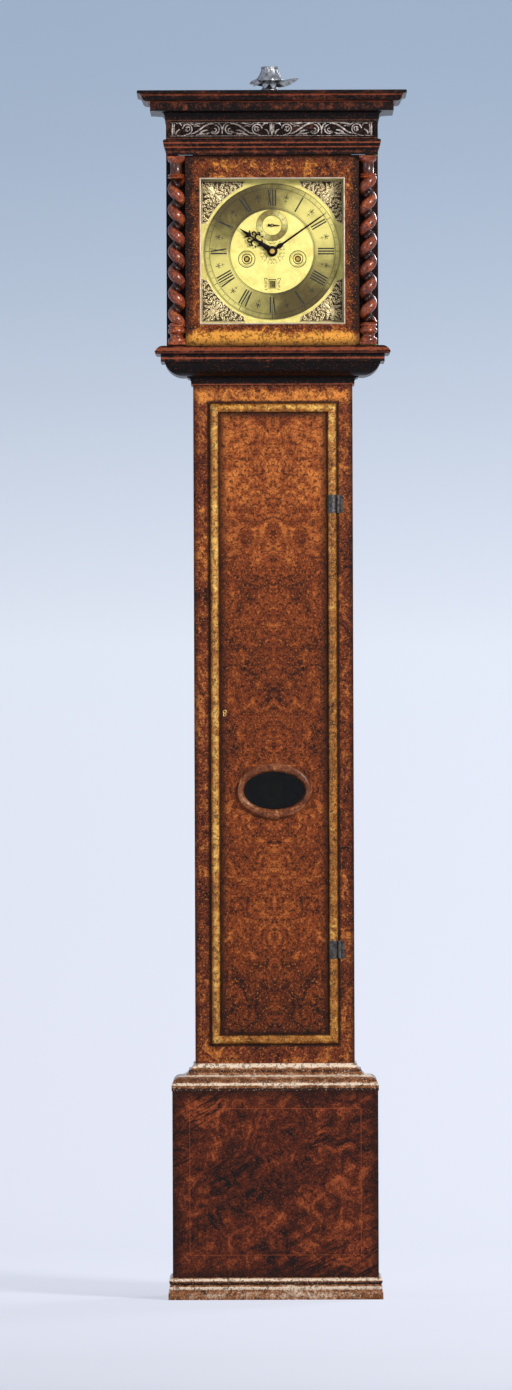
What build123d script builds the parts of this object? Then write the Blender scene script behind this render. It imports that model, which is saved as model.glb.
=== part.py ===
from build123d import *
import math
import os

os.makedirs("parts", exist_ok=True)

# Longcase clock, in millimetres. +Z is up, the dial faces -Y, and the origin is under the
# middle of the whole clock, on the floor.

# Plan: each storey is set out from the back of the case
hood_depth = 225.0  # entablature face to the back of the case
cornice_out = 48.5  # how far the cornice stands out from the entablature
hood_half = 178.0
trunk_half = 134.0
base_half = 173.0
case_back = (hood_depth + cornice_out) / 2
hood_front = case_back - hood_depth
trunk_front = hood_front + hood_half - trunk_half
base_front = trunk_front - (base_half - trunk_half)

# Heights, storey by storey
base_high = 351.0
surbase_high = 45.2
trunk_high = 1141.8  # the part of the trunk that shows between its mouldings
throat_high = 38.0
platform_high = 13.0
hood_moulding_high = 13.7
hood_door_high = 319.8
architrave_high = 26.0
frieze_high = 33.0
cornice_high = 47.6
trunk_bottom = base_high + surbase_high
throat_bottom = trunk_bottom + trunk_high
platform_bottom = throat_bottom + throat_high
platform_top = platform_bottom + platform_high

# Fits and gaps
slide_gap = 0.3  # between pieces that slide or swing past each other
turning_fit = 0.05  # radial clearance of a pin or arbor in its hole
slide_fit = 0.12  # radial clearance of the pendulum's bob on its rod
mitre_gap = 0.16  # the glue line at a mitre

hood_bottom = platform_top + slide_gap
hood_floor = hood_bottom + hood_moulding_high
door_gap = 0.6
hood_door_bottom = hood_floor + door_gap
hood_door_top = hood_door_bottom + hood_door_high
soffit = hood_door_top + door_gap
frieze_bottom = soffit + architrave_high
cornice_bottom = frieze_bottom + frieze_high
hood_top = cornice_bottom + cornice_high

# Boards
back_thick = 12.0
board_thick = 16.0
frame_thick = 18.0
back_front = case_back - back_thick
hood_wall = 20.0
frieze_thick = 4.0

# Trunk door
lip_half = 107.0  # half width over the half-round edge moulding
lip_bottom = 428.4
lip_top = 1506.8
lip_wide = 16.5
lip_proud = 7.0
lip_lap = 8.0  # how far the moulding laps over the frame
panel_gap = 1.8
lip_back_gap = 0.6
panel_thick = 17.6
opening_half = lip_half - lip_lap
opening_bottom = lip_bottom + lip_lap
opening_top = lip_top - lip_lap
panel_front = trunk_front - lip_back_gap
panel_back = panel_front + panel_thick

# Oval window of the trunk door
lenticle_z = 855.0
lenticle_wide = 128.5
lenticle_tall = 96.0
lenticle_open_wide = 102.6
lenticle_open_tall = 63.0
lenticle_proud = 8.0
oval_sides = 36
glass_thick = 2.0

# Trunk door hinges
hinge_x = 109.4
hinge_out = 5.25  # axis in front of the trunk
knuckle_radius = 3.5
hinge_tall = 30.0
hinge_pin_radius = 1.5
leaf_thick = 1.25
hinge_levels = (587.3, 1337.0)

# Dial and hood door
dial_half = 127.0
dial_rise = 159.5  # dial centre above the hood floor
door_open_half = 122.5
door_open_high = 247.0
door_set_back = 14.0  # door frame behind the entablature face
bead_wide = 2.5
mask_open_half = 121.5
dial_z = hood_floor + dial_rise
hood_door_front = hood_front + door_set_back
hood_door_back = hood_door_front + frame_thick
door_stile_edge = 146.0
column_inset = 17.0  # column centre from the faces of the hood
column_x = hood_half - column_inset
column_y = hood_front + column_inset
strap_thick = 1.5
strap_wide = 9.0
strap_pin_radius = 2.0
pin_long = 9.0
pin_x = column_x + 11.0
pin_y = column_y + 10.5

# Layers from the hood door back to the pendulum
mask_gap = 3.5
mask_thick = 10.0
dial_gap = 1.75
dial_thick = 2.5
dial_feet_long = 28.0
plate_thick = 3.5
pillar_long = 62.0
mask_front = hood_door_back + mask_gap
mask_back = mask_front + mask_thick
dial_front = mask_back + dial_gap
dial_back = dial_front + dial_thick
front_plate_y = dial_back + dial_feet_long
between_front = front_plate_y + plate_thick
between_back = between_front + pillar_long
back_plate_y = between_back + plate_thick
pendulum_y = back_plate_y + 22.0

# Movement
plate_half = 62.0
plate_below = 84.7
plate_above = 88.0
seat_thick = 20.0
seat_top = dial_z - plate_below
seat_bottom = seat_top - seat_thick
barrel_x = 43.0
barrel_z = -13.0  # heights within the movement are counted from the dial centre
barrel_radius = 24.2
escape_z = 43.8
pallet_z = 80.3
centre_module = 0.8635
third_module = 0.9
escape_module = 0.85
cannon_module = 0.702
hour_module = 0.72
escape_tip_radius = 23.0
wheel_thick = 2.2
line_radius = 0.9
pulley_radius = 20.0
weight_radius = 29.0
weight_tall = 190.0
weight_bottom = 120.0
pendulum_long = 994.0
bob_radius = 56.0
bob_half_thick = 13.0


def block(x0, x1, y0, y1, z0, z1, mode=Mode.ADD):
    """A board, or a square cut, between six faces."""
    with Locations(((x0 + x1) / 2, (y0 + y1) / 2, (z0 + z1) / 2)):
        Box(x1 - x0, y1 - y0, z1 - z0, mode=mode)


def rod(x, z, radius, y0, y1, mode=Mode.ADD):
    """A round rod, or a round hole, that runs from front to back."""
    with Locations((x, (y0 + y1) / 2, z)):
        Cylinder(radius, y1 - y0, rotation=(90, 0, 0), mode=mode)


def post(x, y, radius, z0, z1, mode=Mode.ADD):
    """An upright round rod or hole."""
    with Locations((x, y, (z0 + z1) / 2)):
        Cylinder(radius, z1 - z0, mode=mode)


def bar(x, z, radius, y0, y1, sides=8):
    """A flat-sided bar that runs from front to back."""
    with BuildSketch(facing(y1, x, z)) as section:
        RegularPolygon(radius, sides)
    extrude(section.sketch, amount=y1 - y0)


def facing(y, x=0.0, z=0.0, turn=0.0):
    """A plane that faces the front, from which an extrusion comes forward.

    The turn is clockwise as the dial is read, in degrees.
    """
    across = (math.cos(math.radians(turn)), 0, -math.sin(math.radians(turn)))
    return Plane(origin=(x, y, z), x_dir=across, z_dir=(0, -1, 0))


def outline(start, steps):
    """A closed outline. A step is a corner, or a point on an arc followed by the arc's end."""
    at = start
    for step in steps:
        if len(step) == 2:
            Line(at, step)
        else:
            ThreePointArc(at, step[:2], step[2:])
        at = step[-2:]
    Line(at, start)


def three_sided_moulding(half, front, start, steps, z0, z1, back=case_back):
    """A moulding along both sides and the front of a storey, mitred at the front corners.

    The outline is given as distance out from the storey's face, and height.
    """
    across = Plane(origin=(-half, back, 0), x_dir=(-1, 0, 0), z_dir=(0, 1, 0))
    with BuildSketch(across) as section:
        with BuildLine():
            outline(start, steps)
        make_face()
    with BuildLine() as run:
        Polyline((-half, back, 0), (-half, front, 0), (half, front, 0), (half, back, 0))
    sweep(section.sketch, path=run.line, transition=Transition.RIGHT)
    for side in (-1, 1):
        with Locations((side * half, front, (z0 + z1) / 2)):
            Box(mitre_gap, 200, z1 - z0 + 2, rotation=(0, 0, side * 45), mode=Mode.SUBTRACT)


def framed_moulding(half, z0, z1, y, start, steps, reach):
    """A moulding round an upright rectangle, mitred at its four corners.

    The outline is given as distance forward of y, and distance towards the middle.
    """
    low = Plane(origin=(0, y, z0), x_dir=(0, -1, 0), z_dir=(-1, 0, 0))
    with BuildSketch(low) as section:
        with BuildLine():
            outline(start, steps)
        make_face()
    with BuildLine() as run:
        Polyline(
            (0, y, z0), (-half, y, z0), (-half, y, z1), (half, y, z1), (half, y, z0), (0, y, z0)
        )
    sweep(section.sketch, path=run.line, transition=Transition.RIGHT)
    for side in (-1, 1):
        for z, turn in ((z0, 45), (z1, -45)):
            with Locations((side * half, y, z)):
                Box(mitre_gap, 60, reach, rotation=(0, -side * turn, 0), mode=Mode.SUBTRACT)


def skinned(rings, split=False, mode=Mode.ADD):
    """A solid of flat faces between rings of corners. Split makes each face two triangles."""
    faces = [Face(Wire.make_polygon(ring)) for ring in (rings[0], rings[-1])]
    for low, high in zip(rings, rings[1:]):
        for corner in range(len(low)):
            beyond = (corner + 1) % len(low)
            quad = (low[corner], low[beyond], high[beyond], high[corner])
            if split:
                faces.append(Face(Wire.make_polygon(quad[:3])))
                faces.append(Face(Wire.make_polygon((quad[0], quad[2], quad[3]))))
            else:
                faces.append(Face(Wire.make_polygon(quad)))
    add(Solid(Shell(faces)), mode=mode)


def faceted(x, y, rings, sides, mode=Mode.ADD):
    """A turned piece in flat facets, upright. A ring is a radius and a height."""
    turns = [math.radians(360 * side / sides) for side in range(sides)]
    skinned(
        [
            [(x + radius * math.cos(turn), y + radius * math.sin(turn), z) for turn in turns]
            for radius, z in rings
        ],
        mode=mode,
    )


def faceted_along(x, z, rings, sides, mode=Mode.ADD):
    """A turned piece in flat facets, front to back. A ring is a radius and a y."""
    turns = [math.radians(360 * side / sides) for side in range(sides)]
    skinned(
        [
            [(x + radius * math.cos(turn), y, z + radius * math.sin(turn)) for turn in turns]
            for radius, y in rings
        ],
        mode=mode,
    )


def oval_points(x, y, half_wide, half_tall, sides):
    """The corners of a flat-sided oval."""
    turns = [math.radians(360 * side / sides) for side in range(sides)]
    return [
        (x + half_wide * math.cos(turn), y + half_tall * math.sin(turn)) for turn in turns
    ]


def oval(x, y, half_wide, half_tall, sides, mode=Mode.ADD):
    """A flat-sided oval, drawn or cut."""
    with BuildLine() as edge:
        Polyline(*oval_points(x, y, half_wide, half_tall, sides), close=True)
    make_face(edge.edges(), mode=mode)


def leaf_points(leaves, module, phase):
    """The corners of a pinion's tapered leaves. Phase is the angle of one leaf's middle."""
    step = 2 * math.pi / leaves
    root = module * (leaves / 2 - 1.3)
    tip = module * (leaves / 2 + 0.55)
    corners = ((-0.3, root), (-0.24, tip), (0.24, tip), (0.3, root))
    return [
        (
            radius * math.cos(phase + (one + share / 2) * step),
            radius * math.sin(phase + (one + share / 2) * step),
        )
        for one in range(leaves)
        for share, radius in corners
    ]


def pointed_teeth(teeth, tip, root, phase, lean=0.5):
    """A rim of pointed teeth, one of them at the phase angle. Lean 0.5 is upright."""
    step = 2 * math.pi / teeth
    return [
        (radius * math.cos(angle), radius * math.sin(angle))
        for tooth in range(teeth)
        for radius, angle in (
            (root, phase + (tooth - lean) * step),
            (tip, phase + tooth * step),
        )
    ]


def wheel(
    x, z, y, teeth, module, phase, thick=wheel_thick, arms=4, hub=6.0, rim=3.2, addendum=0.8
):
    """A brass train wheel with pointed teeth and crossed-out arms, its front face at y."""
    tip = module * (teeth / 2 + addendum)
    root = module * (teeth / 2 - 1.1)
    with BuildSketch(facing(y + thick, x, z)) as blank:
        with BuildLine():
            Polyline(*pointed_teeth(teeth, tip, root, phase), close=True)
        make_face()
        if arms:
            inner = root - rim
            with BuildSketch(mode=Mode.PRIVATE) as windows:
                RegularPolygon(inner, 12)
                RegularPolygon(hub, 8, mode=Mode.SUBTRACT)
                for arm in range(arms):
                    turn = math.degrees(phase) + 45 + arm * 360 / arms
                    with Locations(Location((0, 0, 0), (0, 0, turn))):
                        Rectangle(
                            inner + 2, 3.6, align=(Align.MIN, Align.CENTER), mode=Mode.SUBTRACT
                        )
            add(windows.sketch_local, mode=Mode.SUBTRACT)
    extrude(blank.sketch, amount=thick)


def pinion(x, z, y0, y1, leaves, module, phase):
    """A steel pinion with tapered leaves."""
    with BuildSketch(facing(y1, x, z)) as blank:
        with BuildLine():
            Polyline(*leaf_points(leaves, module, phase), close=True)
        make_face()
    extrude(blank.sketch, amount=y1 - y0)


def toward(here, there):
    """The angle from one arbor to another, in the plane of the wheels."""
    return math.atan2(there[1] - here[1], there[0] - here[0])


def meeting_phase(angle, leaves):
    """The phase of a pinion that puts a gap, not a leaf, towards its wheel."""
    return angle + math.pi + math.pi / leaves


def third_corner(first, first_far, second, second_far, side):
    """Where an arbor stands that is a given distance from two others."""
    across = math.dist(first, second)
    along = (first_far**2 - second_far**2 + across**2) / (2 * across)
    out = side * math.sqrt(first_far**2 - along**2)
    unit = ((second[0] - first[0]) / across, (second[1] - first[1]) / across)
    return (
        first[0] + along * unit[0] + out * unit[1],
        first[1] + along * unit[1] - out * unit[0],
    )


def finish(piece, label):
    """Names a finished piece and writes it."""
    piece.part.label = label
    export_step(piece.part, f"parts/{label}.step")


# Base: four boards with a frame on top that holds the foot of the trunk
floor_up = 30.0
with BuildPart() as base_carcass:
    block(-base_half, base_half, base_front, base_front + frame_thick, 0, base_high)
    for side in (-1, 1):
        outer = side * base_half
        inner = side * (base_half - board_thick)
        side_start = base_front + frame_thick
        block(min(outer, inner), max(outer, inner), side_start, back_front, 0, base_high)
    under = base_half - board_thick
    block(-under, under, base_front + frame_thick, back_front, floor_up, floor_up + 12)
    block(-under, under, base_front + frame_thick, back_front, base_high - 18, base_high)
    block(
        -trunk_half, trunk_half, trunk_front, back_front, base_high - 19, base_high + 1,
        mode=Mode.SUBTRACT,
    )
finish(base_carcass, "base_carcass")

# Skirting: square fillet, cyma, quirk and bead
skirting_high = 38.0
with BuildPart() as base_skirting:
    three_sided_moulding(
        base_half,
        base_front,
        (0, 0),
        (
            (7.5, 0),
            (7.5, 11.0),
            (6.3, 11.6),
            (5.2, 15.4, 5.6, 18.0),
            (6.0, 21.0, 4.0, 24.2),
            (3.0, 25.2),
            (4.6, 26.4),
            (6.3, 30.6, 4.4, 34.8),
            (1.6, 37.0),
            (0, skirting_high),
        ),
        0,
        skirting_high,
    )
finish(base_skirting, "base_skirting")

# Surbase: band, ovolo, ogee and small cavetto between the base and the trunk
step_out = base_half - trunk_half
with BuildPart() as surbase_moulding:
    three_sided_moulding(
        trunk_half,
        trunk_front,
        (0, base_high),
        (
            (step_out + 1.2, base_high),
            (step_out + 1.2, base_high + 8.5),
            (step_out - 0.6, base_high + 10.0),
            (step_out - 3.5, base_high + 18.5, step_out - 14.4, base_high + 23.6),
            (step_out - 23.0, base_high + 26.0, step_out - 28.0, base_high + 32.0),
            (step_out - 28.0, base_high + 34.5),
            (step_out - 30.4, base_high + 34.5),
            (step_out - 33.6, base_high + 37.6, 3.6, base_high + 43.0),
            (3.6, trunk_bottom),
            (0, trunk_bottom),
        ),
        base_high,
        trunk_bottom,
    )
finish(surbase_moulding, "surbase_moulding")

# Backboard: one board the full height, wider at the base, with a wall screw hole
wall_hole_radius = 3.0
wall_hole_z = 1480.0
back_top = 1985.0
with BuildPart() as backboard:
    block(-base_half, base_half, back_front, case_back, 0, base_high)
    block(-trunk_half, trunk_half, back_front, case_back, base_high, back_top)
    rod(0, wall_hole_z, wall_hole_radius, back_front - 1, case_back + 1, mode=Mode.SUBTRACT)
finish(backboard, "backboard")

# Trunk: two sides that rise as cheeks to carry the seatboard, with the strips that hold
# the hood down
trunk_foot = base_high - 18
runner_bottom = hood_floor + slide_gap
with BuildPart() as trunk_sides:
    for side in (-1, 1):
        outer = side * trunk_half
        inner = side * (trunk_half - board_thick)
        x0 = min(outer, inner)
        x1 = max(outer, inner)
        block(x0, x1, trunk_front + frame_thick, back_front, trunk_foot, seat_bottom)
        strip = side * (trunk_half + 16)
        block(
            min(outer, strip), max(outer, strip), trunk_front + 30, back_front - 6,
            runner_bottom, runner_bottom + 12,
        )
finish(trunk_sides, "trunk_sides")

# Trunk front: stiles and rails round the door opening
with BuildPart() as trunk_frame:
    block(
        -trunk_half, trunk_half, trunk_front, trunk_front + frame_thick,
        trunk_foot, platform_bottom,
    )
    block(
        -opening_half, opening_half, trunk_front - 1, trunk_front + frame_thick + 1,
        opening_bottom, opening_top, mode=Mode.SUBTRACT,
    )
finish(trunk_frame, "trunk_frame")

# Throat: convex moulding that spreads the trunk to the flat platform under the hood
platform_out = 54.0
throat_out = 47.6
with BuildPart() as throat_moulding:
    three_sided_moulding(
        trunk_half,
        trunk_front,
        (0, throat_bottom),
        (
            (3.5, throat_bottom),
            (3.5, throat_bottom + 3.5),
            (4.8, throat_bottom + 9.5, 7.5, throat_bottom + 12.0),
            (9.8, throat_bottom + 12.0),
            (9.8, throat_bottom + 14.8),
            (36.7, throat_bottom + 21.7, throat_out, platform_bottom),
            (platform_out, platform_bottom),
            (platform_out, platform_top),
            (0, platform_top),
        ),
        throat_bottom,
        platform_top,
    )
finish(throat_moulding, "throat_moulding")

# Seatboard, on the cheeks, holed for the gut lines
seat_front = between_front - 18
seat_back = back_plate_y + 13
line_y = (between_front + between_back) / 2
line_reach = barrel_radius + line_radius + 0.35  # strand from its barrel's middle
run_radius = pulley_radius + 0.6  # middle of the line round the pulley


def strands(x):
    """Where the line of the barrel at x falls, where it returns, and its weight between."""
    return x - line_reach, x - line_reach + 2 * run_radius, x - line_reach + run_radius


with BuildPart() as seatboard:
    block(-trunk_half, trunk_half, seat_front, seat_back, seat_bottom, seat_top)
    for x in strands(barrel_x)[:2] + strands(-barrel_x)[:2]:
        block(
            x - 5, x + 5, line_y - 18, line_y + 18, seat_bottom - 1, seat_top + 1,
            mode=Mode.SUBTRACT,
        )
finish(seatboard, "seatboard")

# Trunk door: panel with the oval window, rebated behind for the glass
panel_half = opening_half - panel_gap
panel_bottom = opening_bottom + panel_gap
panel_top = opening_top - panel_gap
glass_margin = 4.0
glass_rebate = 7.0
lenticle_glass_y = panel_back - glass_rebate
with BuildPart() as trunk_door_panel:
    block(-panel_half, panel_half, panel_front, panel_back, panel_bottom, panel_top)
    with BuildSketch(facing(panel_back + 1, 0, lenticle_z)):
        oval(0, 0, lenticle_open_wide / 2, lenticle_open_tall / 2, oval_sides)
    extrude(amount=panel_thick + 2, mode=Mode.SUBTRACT)
    with BuildSketch(facing(panel_back + 1, 0, lenticle_z)):
        oval(
            0, 0, lenticle_open_wide / 2 + glass_margin + 0.3,
            lenticle_open_tall / 2 + glass_margin + 0.3, oval_sides,
        )
    extrude(amount=glass_rebate + 1, mode=Mode.SUBTRACT)
finish(trunk_door_panel, "trunk_door_panel")

# Half-round moulding on the door's edge, which laps over the frame
with BuildPart() as trunk_door_moulding:
    framed_moulding(
        lip_half - lip_wide / 2,
        lip_bottom + lip_wide / 2,
        lip_top - lip_wide / 2,
        panel_front,
        (0, -lip_wide / 2),
        ((lip_proud, 0, 0, lip_wide / 2),),
        2.4 * lip_wide,
    )
finish(trunk_door_moulding, "trunk_door_moulding")

# Lenticle ring: oval rings stepped in towards the crown of a half-round moulding
ring_steps = ((0.0, 0.0), (0.8, 3.8), (3.0, 6.8), (5.6, lenticle_proud))


def ovals(wide, tall, out):
    """Ovals that step in from the outer edge, or out from the opening."""
    rings = []
    for inset, proud in ring_steps:
        with BuildSketch(facing(panel_front - proud, 0, lenticle_z)) as ring:
            oval(0, 0, wide / 2 - out * inset, tall / 2 - out * inset, oval_sides)
        rings.append(ring.sketch)
    return rings


with BuildPart() as lenticle_ring:
    loft(ovals(lenticle_wide, lenticle_tall, 1), ruled=True)
    loft(ovals(lenticle_open_wide, lenticle_open_tall, -1), ruled=True, mode=Mode.SUBTRACT)
finish(lenticle_ring, "lenticle_ring")

with BuildPart() as lenticle_glass:
    with BuildSketch(facing(lenticle_glass_y + glass_thick, 0, lenticle_z)):
        oval(
            0, 0, lenticle_open_wide / 2 + glass_margin,
            lenticle_open_tall / 2 + glass_margin, oval_sides,
        )
    extrude(amount=glass_thick)
finish(lenticle_glass, "lenticle_glass")

# Trunk door hinges: three knuckles on a fixed pin, with the door's leaf bent over the
# moulding
hinge_y = trunk_front - hinge_out
knuckle_tall = hinge_tall / 3
lip_arc = (lip_wide**2 / 4 + lip_proud**2) / (2 * lip_proud)
lip_centre_x = lip_half - lip_wide / 2
lip_centre_y = panel_front + lip_arc - lip_proud
stile_leaf = 8.0
with BuildPart() as trunk_hinge_fixed:
    for z in hinge_levels:
        low = z - hinge_tall / 2
        block(
            hinge_x, hinge_x + stile_leaf, trunk_front - leaf_thick, trunk_front,
            low, low + hinge_tall,
        )
        for bottom in (low, low + 2 * knuckle_tall):
            block(
                hinge_x, hinge_x + leaf_thick + 1.2, hinge_y, trunk_front - leaf_thick / 2,
                bottom, bottom + knuckle_tall,
            )
            post(hinge_x, hinge_y, knuckle_radius, bottom, bottom + knuckle_tall)
        block(
            hinge_x - knuckle_radius - 1, hinge_x + knuckle_radius + 0.4,
            hinge_y - knuckle_radius - 1, trunk_front - leaf_thick,
            low + knuckle_tall, low + 2 * knuckle_tall, mode=Mode.SUBTRACT,
        )
        post(hinge_x, hinge_y, hinge_pin_radius, low, low + hinge_tall)
finish(trunk_hinge_fixed, "trunk_hinge_fixed")

with BuildPart() as trunk_hinge_leaves:
    inside = lip_arc + 0.03
    outside = inside + leaf_thick
    for z in hinge_levels:
        low = z - hinge_tall / 2
        for tall, lift, near, far in (
            (hinge_tall, 0.0, -138.0, -46.5),
            (knuckle_tall - 2 * slide_gap, knuckle_tall + slide_gap, -50.0, -24.0),
        ):
            with BuildSketch(Plane.XY.offset(low + lift)):
                with BuildLine():
                    first = CenterArc((lip_centre_x, lip_centre_y), inside, near, far - near)
                    second = CenterArc((lip_centre_x, lip_centre_y), outside, near, far - near)
                    Line(first @ 0, second @ 0)
                    Line(first @ 1, second @ 1)
                make_face()
            extrude(amount=tall)
        mid = low + knuckle_tall + slide_gap
        mid_top = mid + knuckle_tall - 2 * slide_gap
        post(hinge_x, hinge_y, knuckle_radius, mid, mid_top)
        post(
            hinge_x, hinge_y, hinge_pin_radius + turning_fit, mid - 1, mid_top + 1,
            mode=Mode.SUBTRACT,
        )
finish(trunk_hinge_leaves, "trunk_hinge_leaves")

# Lock of the trunk door: iron case behind the panel with a pin for the key, and its bolt
lock_z = 988.0
keyhole_x = -82.8
lock_thick = 10.0
bolt_thick = 4.0
bolt_tall = 9.0
bolt_throw = 10.0
bolt_y = panel_back + lock_thick / 2
with BuildPart() as trunk_lock:
    block(
        -panel_half + 1.0, -64.0, panel_back, panel_back + lock_thick,
        lock_z - 27, lock_z + 27,
    )
    block(
        -panel_half, -68.0, bolt_y - bolt_thick / 2 - slide_gap,
        bolt_y + bolt_thick / 2 + slide_gap,
        lock_z - bolt_tall / 2 - slide_gap, lock_z + bolt_tall / 2 + slide_gap,
        mode=Mode.SUBTRACT,
    )
finish(trunk_lock, "trunk_lock")

with BuildPart() as lock_bolt:
    block(
        -panel_half + 1.0, -70.0 - bolt_throw / 2, bolt_y - bolt_thick / 2,
        bolt_y + bolt_thick / 2, lock_z - bolt_tall / 2, lock_z + bolt_tall / 2,
    )
finish(lock_bolt, "lock_bolt")

# Hood carcass: framed sides with windows, rails above the door and the top board
wall_inner = hood_half - hood_wall
face_inner = hood_half - frieze_thick
side_front = column_y + column_inset + 0.2
window_y0 = -18.0
window_y1 = 98.0
window_z0 = hood_floor + 52
window_z1 = soffit - 52
hood_back = case_back - 2
top_thick = 9.0
with BuildPart() as hood_carcass:
    for side in (-1, 1):
        inner = side * wall_inner
        outer = side * hood_half
        face = side * face_inner
        block(
            min(inner, outer), max(inner, outer), side_front, hood_back, hood_floor, soffit
        )
        block(
            min(inner, face), max(inner, face), hood_front + frieze_thick, hood_back,
            soffit, hood_top - top_thick,
        )
        block(
            min(inner, outer), max(inner, outer), window_y0, window_y1, window_z0, window_z1,
            mode=Mode.SUBTRACT,
        )
        rebate = side * (wall_inner + 8)
        block(
            min(inner, rebate), max(inner, rebate), window_y0 - 5, window_y1 + 5,
            window_z0 - 5, window_z1 + 5, mode=Mode.SUBTRACT,
        )
    block(
        -wall_inner, wall_inner, hood_front + frieze_thick, hood_front + frieze_thick + 16,
        soffit, hood_top - top_thick,
    )
    block(
        -wall_inner, wall_inner, hood_back - 14, hood_back,
        hood_top - top_thick - 26, hood_top - top_thick,
    )
    block(
        -face_inner, face_inner, hood_front + frieze_thick, hood_back,
        hood_top - top_thick, hood_top,
    )
    post(pin_x, pin_y, strap_pin_radius + turning_fit, soffit - 1, soffit + 12, Mode.SUBTRACT)
finish(hood_carcass, "hood_carcass")

with BuildPart() as hood_side_glass:
    for side in (-1, 1):
        near = side * (wall_inner + 6)
        far = side * (wall_inner + 8)
        block(
            min(near, far), max(near, far), window_y0 - 4.8, window_y1 + 4.8,
            window_z0 - 4.8, window_z1 + 4.8,
        )
finish(hood_side_glass, "hood_side_glass")

# Hood base moulding: ovolo lip round the frame that slides on the platform
with BuildPart() as hood_base_moulding:
    three_sided_moulding(
        hood_half,
        hood_front,
        (-40.0, hood_bottom),
        (
            (17.4, hood_bottom),
            (20.0, hood_bottom + 2.6),
            (20.0, hood_bottom + 4.6),
            (18.6, hood_bottom + 6.0),
            (12.4, hood_bottom + 12.2, 3.0, hood_floor),
            (-40.0, hood_floor),
        ),
        hood_bottom,
        hood_floor,
        back=hood_back,
    )
    post(pin_x, pin_y, strap_pin_radius + turning_fit, hood_floor - 9, hood_floor + 1, Mode.SUBTRACT)
finish(hood_base_moulding, "hood_base_moulding")

# Architrave: plain board with a splayed moulding and a top fillet
with BuildPart() as hood_architrave:
    three_sided_moulding(
        hood_half,
        hood_front,
        (-frieze_thick, soffit),
        (
            (0, soffit),
            (0, soffit + 6.4),
            (2.4, soffit + 12.0, 5.0, soffit + 20.6),
            (5.0, soffit + 24.6),
            (1.4, frieze_bottom),
            (-frieze_thick, frieze_bottom),
        ),
        soffit,
        frieze_bottom,
        back=hood_back,
    )
    post(pin_x, pin_y, strap_pin_radius + turning_fit, soffit - 1, soffit + 12, Mode.SUBTRACT)
finish(hood_architrave, "hood_architrave")

# Frieze boards, with the sunk ground that the carving stands in
with BuildPart() as hood_frieze:
    three_sided_moulding(
        hood_half,
        hood_front,
        (-frieze_thick, frieze_bottom),
        ((0, frieze_bottom), (0, cornice_bottom), (-frieze_thick, cornice_bottom)),
        frieze_bottom,
        cornice_bottom,
        back=hood_back,
    )
    block(
        -hood_half + 7, hood_half - 7, hood_front - 1, hood_front + 1.4,
        frieze_bottom + 5, cornice_bottom - 5, mode=Mode.SUBTRACT,
    )
finish(hood_frieze, "hood_frieze")

# Cornice: bed cavetto, corona and cyma
with BuildPart() as hood_cornice:
    three_sided_moulding(
        hood_half,
        hood_front,
        (-frieze_thick, cornice_bottom),
        (
            (2.0, cornice_bottom),
            (2.0, cornice_bottom + 2.6),
            (3.4, cornice_bottom + 9.0, 7.5, cornice_bottom + 12.6),
            (26.5, cornice_bottom + 13.8),
            (26.5, cornice_bottom + 28.6),
            (28.4, cornice_bottom + 29.8),
            (37.4, cornice_bottom + 31.6, 40.2, cornice_bottom + 36.0),
            (42.4, cornice_bottom + 40.4, cornice_out - 1.2, cornice_bottom + 42.6),
            (cornice_out, cornice_bottom + 42.6),
            (cornice_out, hood_top - 1.4),
            (cornice_out - 1.4, hood_top),
            (-frieze_thick, hood_top),
        ),
        cornice_bottom,
        hood_top,
        back=hood_back,
    )
finish(hood_cornice, "hood_cornice")

# Dial mask: the frame inside the hood that borders the dial
mask_open_high = door_open_high / 2 - 1.5
with BuildPart() as dial_mask:
    block(-wall_inner, wall_inner, mask_front, mask_back, hood_floor, soffit)
    block(
        -mask_open_half, mask_open_half, mask_front - 1, mask_back + 1,
        dial_z - mask_open_high, dial_z + mask_open_high, mode=Mode.SUBTRACT,
    )
finish(dial_mask, "dial_mask")


def leaf(points, widths, thick):
    """A curled acanthus leaf: eight-sided oval sections set square to its midrib."""
    rings = []
    for index, (x, y, z) in enumerate(points):
        before = points[max(index - 1, 0)]
        after = points[min(index + 1, len(points) - 1)]
        length = math.dist(before, after)
        lean_x = (after[2] - before[2]) / length
        lean_z = (after[0] - before[0]) / length
        ring = [
            (x - lean_x * up, y + across, z + lean_z * up)
            for across, up in oval_points(0, 0, widths[index] / 2, thick[index] / 2, 8)
        ]
        rings.append(ring)
    skinned(rings, split=True)


# Cast metal crest base at the front of the hood: a waisted bell on curled leaves
crest_x = -3.4
crest_y = hood_front - cornice_out + 33.0
with BuildPart() as crest_base:
    faceted(
        crest_x,
        crest_y,
        (
            (21.5, hood_top),
            (21.5, hood_top + 5.0),
            (16.0, hood_top + 8.0),
            (24.4, hood_top + 14.6),
            (24.0, hood_top + 17.4),
            (17.0, hood_top + 23.6),
            (14.6, hood_top + 33.0),
            (14.0, hood_top + 40.4),
        ),
        16,
    )
    leaf(
        (
            (crest_x + 8, crest_y, hood_top + 6.0),
            (crest_x + 22, crest_y, hood_top + 8.0),
            (crest_x + 34, crest_y, hood_top + 13.0),
            (crest_x + 42, crest_y, hood_top + 18.5),
            (crest_x + 48, crest_y, hood_top + 25.5),
        ),
        (16.0, 20.0, 16.0, 10.0, 3.0),
        (10.0, 9.0, 7.0, 5.0, 2.0),
    )
    leaf(
        (
            (crest_x - 8, crest_y, hood_top + 6.0),
            (crest_x - 20, crest_y, hood_top + 7.5),
            (crest_x - 29, crest_y, hood_top + 12.5),
            (crest_x - 34, crest_y, hood_top + 20.0),
        ),
        (16.0, 19.0, 14.0, 4.0),
        (10.0, 9.0, 6.5, 3.0),
    )
finish(crest_base, "crest_base")

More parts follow.
